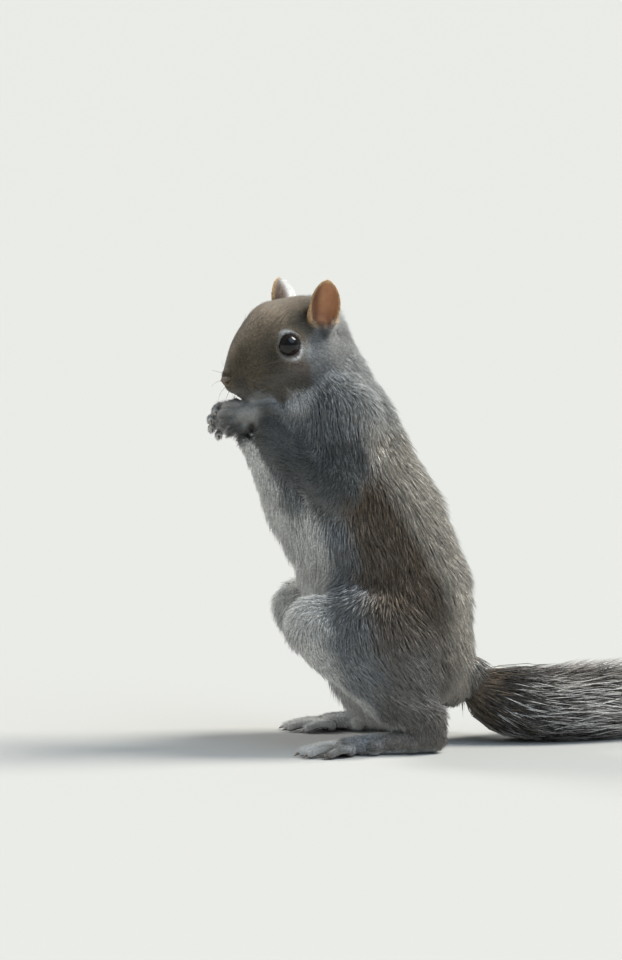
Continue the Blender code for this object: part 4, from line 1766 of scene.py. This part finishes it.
    def build(self, finish: Material) -> None:
        """Makes the coat, in one or two pieces for each region.

        Args:
            finish: The coat's material.
        """
        for region, plan in PLANS.items():
            roots = self.roots(region)
            shares = self.markings.shares(roots.points, roots.facing)
            values = {mark.value: share for mark, share in shares.items()}
            if region is Region.TAIL:
                lines, values[Mark.FRINGE.value] = self.tail_lines(roots)
            else:
                lines = self.lines(roots, plan.tuft.shares, plan.gather)
            lines[:, :, 2] = np.maximum(lines[:, :, 2], self.clearance * MM)
            values["seed"] = self.random.random(len(lines))
            way = unit(lines[:, -1] - lines[:, 0])
            across = unit(np.cross(way, roots.facing))
            over = np.cross(across, way)
            widths = roots.pelts[:, 3] * self.random.uniform(*self.girths, len(lines)) * MM
            for number, part in enumerate(np.array_split(np.argsort(roots.points[:, 0]), plan.pieces)):
                name = f"coat_{region.name.lower()}" + (f"_{number + 1}" if plan.pieces > 1 else "")
                mesh = plan.tuft.mesh(name, lines[part], across[part], over[part], widths[part],
                                      roots.unwrap[part], {key: kept[part] for key, kept in values.items()})
                finished(link(name, mesh), finish)


# ---- finishes


@dataclass(frozen=True)
class Pelage:
    """The colours of one marking's hair, at its root, its band and its tip."""

    root: Colour
    band: Colour
    tip: Colour
    band_at: float = 0.55
    grizzle: float = 1.0


GROUND = Pelage((0.13, 0.137, 0.143), (0.365, 0.383, 0.40), (0.215, 0.226, 0.233))
PELAGES = {
    # The back: its own brownish grey, lightened as painted sunlit rim light.
    Mark.BACK: Pelage((0.29, 0.27, 0.24), (0.66, 0.61, 0.54), (0.50, 0.46, 0.405), grizzle=0.8),
    # The flank: its own brown, darkened as painted shade.
    Mark.FLANK_AND_SHADE: Pelage((0.055, 0.046, 0.038), (0.24, 0.18, 0.125), (0.11, 0.087, 0.067)),
    # The arms' painted shade.
    Mark.ARM: Pelage((0.04, 0.045, 0.047), (0.165, 0.18, 0.184), (0.09, 0.099, 0.102)),
    Mark.FACE: Pelage((0.045, 0.037, 0.025), (0.155, 0.122, 0.077), (0.077, 0.061, 0.041)),
    Mark.CROWN: Pelage((0.06, 0.047, 0.033), (0.245, 0.19, 0.128), (0.13, 0.101, 0.069)),
    Mark.CHEEK: Pelage((0.065, 0.056, 0.042), (0.20, 0.168, 0.12), (0.135, 0.114, 0.082), grizzle=0.8),
    Mark.RUFOUS: Pelage((0.045, 0.028, 0.018), (0.14, 0.082, 0.045), (0.08, 0.048, 0.028), grizzle=0.8),
    Mark.PAW: Pelage((0.10, 0.095, 0.085), (0.26, 0.255, 0.24), (0.22, 0.215, 0.20), grizzle=0.6),
    # The hands' painted shade.
    Mark.HAND: Pelage((0.03, 0.031, 0.03), (0.125, 0.126, 0.12), (0.085, 0.086, 0.082)),
    Mark.PALE: Pelage((0.52, 0.52, 0.52), (0.84, 0.84, 0.82), (0.90, 0.90, 0.88), grizzle=0.25),
    # The darker patches: dark hair and painted shade.
    Mark.DARK_HAIR_AND_SHADE: Pelage((0.03, 0.028, 0.025), (0.06, 0.055, 0.05), (0.04, 0.037, 0.033), grizzle=0.5),
    # The ears' insides, with their painted glow.
    Mark.EAR: Pelage((0.34, 0.17, 0.09), (0.50, 0.27, 0.15), (0.62, 0.40, 0.25), grizzle=0.3),
    # The ears' painted shade.
    Mark.SHADE: Pelage((0.10, 0.05, 0.03), (0.15, 0.08, 0.045), (0.20, 0.12, 0.075), grizzle=0.3),
    # The rims, with their painted glow.
    Mark.RIM: Pelage((0.45, 0.26, 0.12), (0.60, 0.40, 0.21), (0.70, 0.53, 0.33), grizzle=0.3),
    Mark.TAIL: Pelage((0.22, 0.17, 0.12), (0.06, 0.053, 0.047), (0.34, 0.31, 0.28), 0.62, 0.7),
    Mark.FRINGE: Pelage((0.22, 0.17, 0.12), (0.035, 0.03, 0.028), (0.74, 0.73, 0.71), 0.62, 0.35),
}


class NodeKit:
    """A few short ways to add nodes to a node tree."""

    def __init__(self, tree: bpy.types.NodeTree) -> None:
        """Keeps the tree that the nodes are added to."""
        self.tree = tree

    def add(self, kind_name: str, **settings: object) -> bpy.types.Node:
        """Adds a node and sets its properties."""
        node = self.tree.nodes.new(kind_name)
        for key, value in settings.items():
            setattr(node, key, value)
        return node

    def join(self, value: object, target: Socket) -> None:
        """Gives an input its value: another node's output, a colour or a number."""
        if isinstance(value, Socket):
            self.tree.links.new(value, target)
        else:
            target.default_value = (*value, 1) if isinstance(value, tuple) else value

    def math(self, operation: str, first: object, second: object) -> Socket:
        """Adds a Math node."""
        node = self.add("ShaderNodeMath", operation=operation)
        self.join(first, node.inputs[0])
        self.join(second, node.inputs[1])
        return node.outputs[0]

    def mix(self, share: object, first: object, second: object, blend: str = "MIX") -> Socket:
        """Adds a colour Mix node, whose share and colours are its inputs 0, 6 and 7."""
        node = self.add("ShaderNodeMix", data_type="RGBA", blend_type=blend)
        for number, value in ((0, share), (6, first), (7, second)):
            self.join(value, node.inputs[number])
        return node.outputs[2]

    def ramp(self, share: Socket, *stops: tuple[float, object]) -> Socket:
        """Adds a Color Ramp node with stops at places from 0 to 1, each a colour or a grey."""
        node = self.add("ShaderNodeValToRGB")
        elements = node.color_ramp.elements
        while len(elements) < len(stops):
            elements.new(0.5)
        for element, (at, tone) in zip(elements, stops):
            element.position = at
            element.color = (*tone, 1) if isinstance(tone, tuple) else (tone, tone, tone, 1)
        self.join(share, node.inputs[0])
        return node.outputs[0]

    def attribute(self, name: str) -> Socket:
        """The number that a mesh keeps under a name."""
        return self.add("ShaderNodeAttribute", attribute_name=name).outputs["Fac"]

    def pattern(self, kind_name: str, output: str, **inputs: float) -> Socket:
        """A texture on the object's own coordinates."""
        node = self.add(kind_name)
        for key, value in inputs.items():
            node.inputs[key].default_value = value
        self.join(self.add("ShaderNodeTexCoord").outputs["Object"], node.inputs["Vector"])
        return node.outputs[output]

    def noise(self, scale: float, detail: float = 3.0) -> Socket:
        """Noise on the object's own coordinates."""
        return self.pattern("ShaderNodeTexNoise", "Fac", Scale=scale, Detail=detail)

    def coat(self, group: ShaderNodeTree, along: Socket, seed: Socket) -> Socket:
        """The coat's colour at a share of a hair's length, on one hair of many."""
        node = self.add("ShaderNodeGroup", node_tree=group)
        self.join(along, node.inputs["Along"])
        self.join(seed, node.inputs["Seed"])
        return node.outputs["Color"]


@dataclass(frozen=True)
class CoatColours:
    """How the coat's markings, its grizzle and its mottle make up its colours.

    A stop is a place from 0 to 1 and the colour or the grey there.
    """

    spread: float = 0.34
    grizzle: tuple = ((0.0, 0.55), (0.3, 0.82), (0.72, 1.05), (1.0, 1.5))
    tail_brown: tuple = (0.36, (0.27, 0.205, 0.14))
    tail_band: tuple = (0.50, 0.74)
    tail_tip: float = 0.86
    mottle_size: float = 90.0
    mottle: tuple = ((0.3, 0.84), (0.7, 1.12))
    speckle_size: float = 1150.0
    speckle: tuple = ((0.33, 0.5), (0.5, 0.95), (0.67, 1.55))
    speckled: float = 0.6
    paw_plainness: float = 0.42
    tip_after: float = 0.3

    def stops(self, mark: Mark | None, pelage: Pelage) -> tuple:
        """The colours along a marking's hair."""
        if mark in (Mark.TAIL, Mark.FRINGE):
            bands = tuple((at, pelage.band) for at in self.tail_band)
            return ((0.0, pelage.root), self.tail_brown, *bands, (self.tail_tip, pelage.tip))
        tip_at = pelage.band_at + self.tip_after
        return ((0.0, pelage.root), (pelage.band_at, pelage.band), (tip_at, pelage.tip))

    def group(self) -> ShaderNodeTree:
        """Builds the node group that the skin and every tuft share.

        Returns:
            A group that turns how far along its hair a point is, and which hair it is, into a colour.
        """
        group = bpy.data.node_groups.new("coat_colour", "ShaderNodeTree")
        for name in ("Along", "Seed"):
            group.interface.new_socket(name, in_out="INPUT", socket_type="NodeSocketFloat")
        group.interface.new_socket("Color", in_out="OUTPUT", socket_type="NodeSocketColor")
        kit = NodeKit(group)
        given = kit.add("NodeGroupInput").outputs
        spread = kit.math("MULTIPLY", kit.math("SUBTRACT", given["Seed"], 0.5), self.spread)
        along = kit.math("ADD", given["Along"], spread)
        grizzle = kit.ramp(given["Seed"], *self.grizzle)
        colour = None
        for mark, pelage in [(None, GROUND), *PELAGES.items()]:
            hair = kit.ramp(along, *self.stops(mark, pelage))
            hair = kit.mix(pelage.grizzle, hair, grizzle, "MULTIPLY")
            colour = hair if mark is None else kit.mix(kit.attribute(mark.value), colour, hair)
        mottle = kit.ramp(kit.noise(self.mottle_size), *self.mottle)
        speckle = kit.ramp(kit.noise(self.speckle_size), *self.speckle)
        paws = kit.math("MAXIMUM", kit.attribute(Mark.PAW.value), kit.attribute(Mark.HAND.value))
        share = kit.math("SUBTRACT", self.speckled, kit.math("MULTIPLY", paws, self.paw_plainness))
        colour = kit.mix(share, colour, kit.mix(1.0, colour, speckle, "MULTIPLY"))
        result = kit.add("NodeGroupOutput")
        kit.join(kit.mix(1.0, colour, mottle, "MULTIPLY"), result.inputs["Color"])
        return group


@dataclass(frozen=True)
class Finish:
    """A material: its name, its shader's plain values, and its bumps' strength and height in metres."""

    name: str
    values: tuple[tuple[str, object], ...]
    bump: Pair = (0.0, 0.0)

    def colour(self, kit: NodeKit) -> Socket | None:
        """The nodes of its colour, unless that is a plain value."""
        return None

    def height(self, kit: NodeKit) -> Socket | None:
        """The nodes of its bumps, if it has any."""
        return None

    def material(self) -> Material:
        """Makes the material."""
        material = bpy.data.materials.new(self.name)
        material.use_nodes = True
        kit = NodeKit(material.node_tree)
        shader = material.node_tree.nodes["Principled BSDF"]
        for key, value in self.values:
            kit.join(value, shader.inputs[key])
        colour, height = self.colour(kit), self.height(kit)
        if colour:
            kit.join(colour, shader.inputs["Base Color"])
        if height:
            bump = kit.add("ShaderNodeBump")
            for value, key in zip((*self.bump, height), ("Strength", "Distance", "Height")):
                kit.join(value, bump.inputs[key])
            kit.join(bump.outputs["Normal"], shader.inputs["Normal"])
        return material


@dataclass(frozen=True)
class HairFinish(Finish):
    """The finish of the tufts."""

    name: str = "coat_hair"
    values: tuple = (("Roughness", 0.55), ("Specular IOR Level", 0.3), ("Sheen Weight", 0.3),
                     ("Sheen Roughness", 0.4))
    colours: ShaderNodeTree | None = None

    def colour(self, kit: NodeKit) -> Socket:
        """The coat's colours along each tuft."""
        return kit.coat(self.colours, kit.attribute("along"), kit.attribute("seed"))


@dataclass(frozen=True)
class SkinFinish(Finish):
    """The finish of the skin: the coat's colours under the hair, and bare skin in the ears, lightened as a
    painted glow of light through them.
    """

    name: str = "skin"
    values: tuple = (("Roughness", 0.65), ("Specular IOR Level", 0.3))
    bump: Pair = (0.5, 0.0004)
    colours: ShaderNodeTree | None = None
    bare: Colour = (0.060, 0.042, 0.037)
    # The ears' skin, lightened as a painted glow of light through them.
    ear: Colour = (0.60, 0.30, 0.16)
    # The skin's painted shade in the ears' front.
    fold_shade: Colour = (0.11, 0.05, 0.03)
    pallor: float = 0.8
    fine: float = 2600.0
    coarse: float = 1500.0
    flush: float = 300.0
    flush_band: Pair = (0.3, 0.7)
    hair_reach: float = 0.8
    detail: float = 2.0

    def height(self, kit: NodeKit) -> Socket:
        """Fine grain."""
        return kit.noise(self.fine, self.detail)

    def colour(self, kit: NodeKit) -> Socket:
        """The coat's colours, the ears' flush and painted glow, their painted shade, and the bare lids and
        soles.
        """
        along = kit.math("MULTIPLY", kit.noise(self.coarse, self.detail), self.hair_reach)
        coat = kit.coat(self.colours, along, kit.noise(self.fine, self.detail))
        tones = (tuple(self.pallor * part for part in self.ear), self.ear)
        flush = kit.ramp(kit.noise(self.flush), *zip(self.flush_band, tones))
        tone = kit.mix(kit.attribute(Mark.EAR.value), coat, flush)
        tone = kit.mix(kit.attribute(Mark.SHADE.value), tone, self.fold_shade)
        return kit.mix(kit.attribute(Mark.BARE.value), tone, self.bare)


@dataclass(frozen=True)
class EyeFinish(Finish):
    """A dark wet eye: a black pupil in a nearly black brown iris."""

    name: str = "eye"
    values: tuple = (("Roughness", 0.25), ("Specular IOR Level", 0.1), ("Coat Weight", 1.0),
                     ("Coat Roughness", 0.03), ("Coat IOR", 1.38))
    rings: tuple = (
        (0.0, (0.002, 0.002, 0.003)), (0.16, (0.002, 0.002, 0.003)), (0.20, (0.014, 0.008, 0.005)),
        (0.28, (0.010, 0.006, 0.004)), (0.34, (0.003, 0.003, 0.003)), (0.5, (0.006, 0.005, 0.005)))
    streaks: tuple = ((0.3, 0.6), (0.7, 1.3))
    streak_size: float = 1800.0
    streak_detail: float = 4.0

    def colour(self, kit: NodeKit) -> Socket:
        """Rings from the pupil out, with fine streaks."""
        streaks = kit.ramp(kit.noise(self.streak_size, self.streak_detail), *self.streaks)
        return kit.mix(1.0, kit.ramp(kit.attribute("out"), *self.rings), streaks, "MULTIPLY")


@dataclass(frozen=True)
class HornFinish(Finish):
    """A finish for claws and whiskers, darker at the root than at the tip."""

    root: Colour = (0.0, 0.0, 0.0)
    tip: Colour = (0.0, 0.0, 0.0)
    grain: tuple = ((0.3, 0.75), (0.7, 1.25))
    grain_size: float = 3000.0
    root_end: float = 0.25

    def colour(self, kit: NodeKit) -> Socket:
        """The root's colour, the tip's and a fine grain."""
        colour = kit.ramp(kit.attribute("along"), (self.root_end, self.root), (1.0, self.tip))
        return kit.mix(1.0, colour, kit.ramp(kit.noise(self.grain_size), *self.grain), "MULTIPLY")


@dataclass(frozen=True)
class NoseFinish(Finish):
    """The bare leathery skin of the nose, with fine pebbles."""

    name: str = "nose"
    values: tuple = (("Roughness", 0.42),)
    bump: Pair = (0.3, 0.0002)
    tones: tuple = ((0.35, (0.115, 0.082, 0.052)), (0.65, (0.165, 0.125, 0.082)))
    tone_size: float = 900.0
    # The near-black of the painted shade in the nostrils and the cleft.
    inside: Colour = (0.012, 0.009, 0.008)
    pebbles: float = 3200.0

    def height(self, kit: NodeKit) -> Socket:
        """Pebbles."""
        return kit.pattern("ShaderNodeTexVoronoi", "Distance", Scale=self.pebbles)

    def colour(self, kit: NodeKit) -> Socket:
        """Two browns, and near-black painted shade in the nostrils and the cleft."""
        skin = kit.ramp(kit.noise(self.tone_size), *self.tones)
        return kit.mix(kit.attribute("hollow_shade"), skin, self.inside)


# ---- nose and whiskers


@dataclass(frozen=True)
class Nose:
    """The nose pad, with a comma-shaped nostril on each side and a cleft between them.

    A dent is its place across and up the pad, as shares of its half width and half height, and its reach.
    """

    half: Triple = (3.5, 2.5, 2.5)
    widening: float = 0.5
    hole: tuple = (0.56, -0.12, 0.17, 0.26)
    slit: tuple = (0.88, -0.02, 0.2, 0.13)
    slit_slope: tuple = (0.5, 0.8)
    wing: tuple = (0.62, 0.32, 0.22, 0.25)
    cleft: float = 0.07
    cleft_top: float = 0.25
    cleft_above: float = 0.25
    heights: Triple = (0.4, -1.6, -0.35)
    # How dark the painted shade is in the nostrils and in the cleft.
    darkness: Pair = (1.4, 0.5)
    offset: Pair = (-0.1, -0.7)
    pitch: float = 16.0
    segments: tuple[int, int] = (72, 56)

    @staticmethod
    def dent(out: float, up: float, shape: tuple[float, float, float, float]) -> float:
        """How deep one dent is at a place on the pad, from 0 to 1."""
        across, height, width, reach = shape
        return math.exp(-(((out - across) / width) ** 2) - ((up - height) / reach) ** 2)

    def build(self, finish: Material) -> None:
        """Makes the pad."""
        pad = bmesh.new()
        around, rings = self.segments
        bmesh.ops.create_uvsphere(pad, u_segments=around, v_segments=rings, radius=1)
        hollow_shade = []
        for vertex in pad.verts:
            side, forward, up = vertex.co.x, -vertex.co.y, vertex.co.z
            out, front = abs(side), max(0.0, forward) ** 0.5
            slope, pivot = self.slit_slope
            slit = self.dent(out, up - slope * (out - pivot), self.slit)
            dent = max(self.dent(out, up, self.hole), slit)
            cleft = math.exp(-((side / self.cleft) ** 2)) * (1.0 if up < self.cleft_top else self.cleft_above)
            dark, shade = self.darkness
            hollow_shade.append(min(1.0, dark * dent * front**0.5 + shade * cleft * front))
            shapes = (self.dent(out, up, self.wing), dent, cleft)
            relief = sum(height * shape for height, shape in zip(self.heights, shapes))
            width = self.half[0] + self.widening * up - self.widening * dent
            vertex.co = place(side * width, self.half[1] * forward + relief * front, up * self.half[2])
        ahead, high = self.offset
        centre = Matrix.Translation(place(0, SKULL.nose[1] + ahead, SKULL.nose[2] + high))
        bmesh.ops.transform(pad, matrix=SKULL_FRAME @ centre @ turn(pitch=self.pitch), verts=pad.verts)
        item = as_object("nose_pad", pad)
        Tufts.store(item.data, "hollow_shade", np.array(hollow_shade))
        finished(item, finish, ("nose",))


@dataclass(frozen=True)
class Whiskers:
    """Fine curved whiskers: rows on the muzzle, and a few above each eye.

    A group is its first whisker's place and direction, and what each next one and each next row add.
    """

    rows: int = 4
    row_length: int = 3
    brow_length: int = 2
    muzzle: Rows = ((5.4, 21.5, -9.4, 0.9, 0.25, 0.28), (0.8, -2.4, 0, 0, -0.28, 0),
                    (0, 0, -1.5, 0, 0, -0.26))
    brow: Rows = ((10.5, 5.5, 6.0, 0.7, -0.1, 0.75), (1, -3, 0, 0, 0, 0), (0, 0, 0, 0, 0, 0))
    lengths: Triple = (20.0, 5.0, 3.0)
    brow_lengths: Pair = (13.0, 2.0)
    radius: float = 0.09
    taper: float = 0.75
    steps: int = 12
    back: float = 0.30
    sag: float = 0.18
    brow_sag: float = 0.35
    seed: int = 5

    def line(self, start: Vector, way: Vector, length: float, sag: float) -> list[Vector]:
        """The points of one whisker, which bends back and down."""
        found = []
        for step in range(self.steps):
            share = step / (self.steps - 1)
            bend = Vector((0, -self.back, -sag)) * share * share * length
            found.append(skull_point(*(start + way * (length * share) + bend)))
        return found

    @staticmethod
    def stance(group: Rows, side: int, number: int, row: int = 0) -> tuple[Vector, Vector]:
        """Where one whisker of a group starts, and its direction."""
        first, after, below = np.array(group, float)
        numbers = (first + after * number + below * row) * (side, 1, 1, side, 1, 1)
        return Vector(numbers[:3]), Vector(numbers[3:]).normalized()

    def starts(self, side: int, random: np.random.Generator) -> list[tuple[Vector, Vector, float, float]]:
        """Where one side's whiskers start, their directions, their lengths and how far they sag."""
        found = []
        base, more, spread = self.lengths
        for row in range(self.rows):
            for number in range(self.row_length):
                length = base + more * number + random.uniform(-spread, spread)
                found.append((*self.stance(self.muzzle, side, number, row), length, self.sag))
        base, more = self.brow_lengths
        for number in range(self.brow_length):
            found.append((*self.stance(self.brow, side, number), base + more * number, self.brow_sag))
        return found

    def build(self, finish: Material) -> None:
        """Makes all whiskers as one piece."""
        random = np.random.default_rng(self.seed)
        whole = bmesh.new()
        along: list[float] = []
        last = self.steps - 1
        radii = [self.radius * (1 - self.taper * step / last) * MM for step in range(self.steps)]
        for side in SIDES.values():
            for start, way, length, sag in self.starts(side, random):
                line = self.line(start, way, length, sag)
                item = tube(line, radii)
                points = positions(item.data)
                along += list(np.linalg.norm(points - np.array(line[0]), axis=1) / (length * MM))
                add_object(whole, item)
        item = as_object("whiskers", whole)
        Tufts.store(item.data, "along", np.clip(np.array(along), 0, 1))
        finished(item, finish)


# ---- studio


@dataclass(frozen=True)
class Light:
    """A wide soft light from a direction; its spread is how wide it looks from the animal, in degrees."""

    name: str
    source: Triple
    spread: float
    power: float
    colour: Colour

    def build(self) -> None:
        """Makes the light."""
        data = bpy.data.lights.new(self.name, "SUN")
        data.angle = math.radians(self.spread)
        data.energy = self.power
        data.color = self.colour
        link(self.name, data).rotation_euler = (-Vector(self.source)).to_track_quat("-Z", "Y").to_euler()


@dataclass(frozen=True)
class Studio:
    """A plain pale floor, soft lights, and a camera that looks at the animal's left side.

    The view's height and how far the target lies right of its middle and above it are in mm at the target.
    """

    azimuth: float = 85.0
    elevation: float = 5.5
    distance: float = 3.0
    target: Triple = (0.0, 0.0, 120.0)
    view_height: float = 391.84
    off_middle: Pair = (24.08, 11.84)
    sensor: float = 36.0
    far: float = 300.0
    floor_size: float = 60.0
    floor_finish: Finish = Finish("floor", (("Base Color", (0.5, 0.5, 0.485)), ("Roughness", 0.9)))
    lights: tuple[Light, ...] = (
        Light("back_light", (-0.15, 1.0, 1.2), 28, 4.0, (1.0, 0.97, 0.9)),
        Light("edge_light", (-0.8, -0.95, 0.9), 20, 1.6, (1.0, 0.98, 0.94)),
        Light("sky_light", (0.5, 0.5, 0.78), 50, 0.85, (0.62, 0.8, 1.0)),
    )
    sky: Colour = (0.84, 0.93, 1.0)
    sky_strength: float = 0.27

    def camera(self) -> None:
        """Places the camera so that the target lies off the middle of the view by its offsets."""
        data = bpy.data.cameras.new("camera")
        item = link("camera", data)
        data.sensor_width = self.sensor
        data.lens = self.sensor * self.distance / (self.view_height * MM)
        data.clip_end = self.far
        azimuth, elevation = math.radians(self.azimuth), math.radians(self.elevation)
        level = math.cos(elevation)
        back = Vector((math.sin(azimuth) * level, -math.cos(azimuth) * level, math.sin(elevation)))
        item.location = body_point(*self.target) + back * self.distance
        aside, above = (offset * MM / self.distance for offset in self.off_middle)
        turned_aim = Vector((0, 0, -1)).rotation_difference(Vector((aside, above, -1)).normalized())
        look = (-back).to_track_quat("-Z", "Y").to_matrix() @ turned_aim.inverted().to_matrix()
        item.rotation_mode = "QUATERNION"
        item.rotation_quaternion = look.to_quaternion()
        bpy.context.scene.camera = item

    def floor(self) -> None:
        """A large pale floor."""
        shape = bmesh.new()
        bmesh.ops.create_grid(shape, x_segments=1, y_segments=1, size=self.floor_size)
        item = as_object("floor", shape)
        item.data.materials.append(self.floor_finish.material())

    def build(self) -> None:
        """Makes the floor, the lights and the camera."""
        self.floor()
        for light in self.lights:
            light.build()
        world = bpy.data.worlds.new("studio")
        bpy.context.scene.world = world
        world.use_nodes = True
        background = world.node_tree.nodes["Background"]
        background.inputs["Color"].default_value = (*self.sky, 1)
        background.inputs["Strength"].default_value = self.sky_strength
        bpy.context.scene.view_settings.view_transform = "Standard"
        self.camera()


def main() -> None:
    """Builds the squirrel and its studio."""
    logging.basicConfig(level=logging.INFO, format="%(message)s")
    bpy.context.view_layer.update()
    Studio().build()
    colours = CoatColours().group()
    maker = Skin()
    skin = maker.build(SkinFinish(colours=colours).material())
    Coat(skin, maker, Markings(tuple(maker.eyes.values()))).build(HairFinish(colours=colours).material())
    eye_finish = EyeFinish().material()
    for name, eye in maker.eyes.items():
        eye.ball(name, eye_finish)
    Nose().build(NoseFinish().material())
    claw = HornFinish("claw", (("Roughness", 0.35),), root=(0.035, 0.026, 0.022), tip=(0.22, 0.17, 0.13))
    claw_finish = claw.material()
    for paw in maker.paws:
        paw.claws(claw_finish)
    whisker = HornFinish("whisker", (("Roughness", 0.4),), root=(0.015, 0.013, 0.012), tip=(0.10, 0.09, 0.08))
    Whiskers().build(whisker.material())


if __name__ == "__main__":
    main()
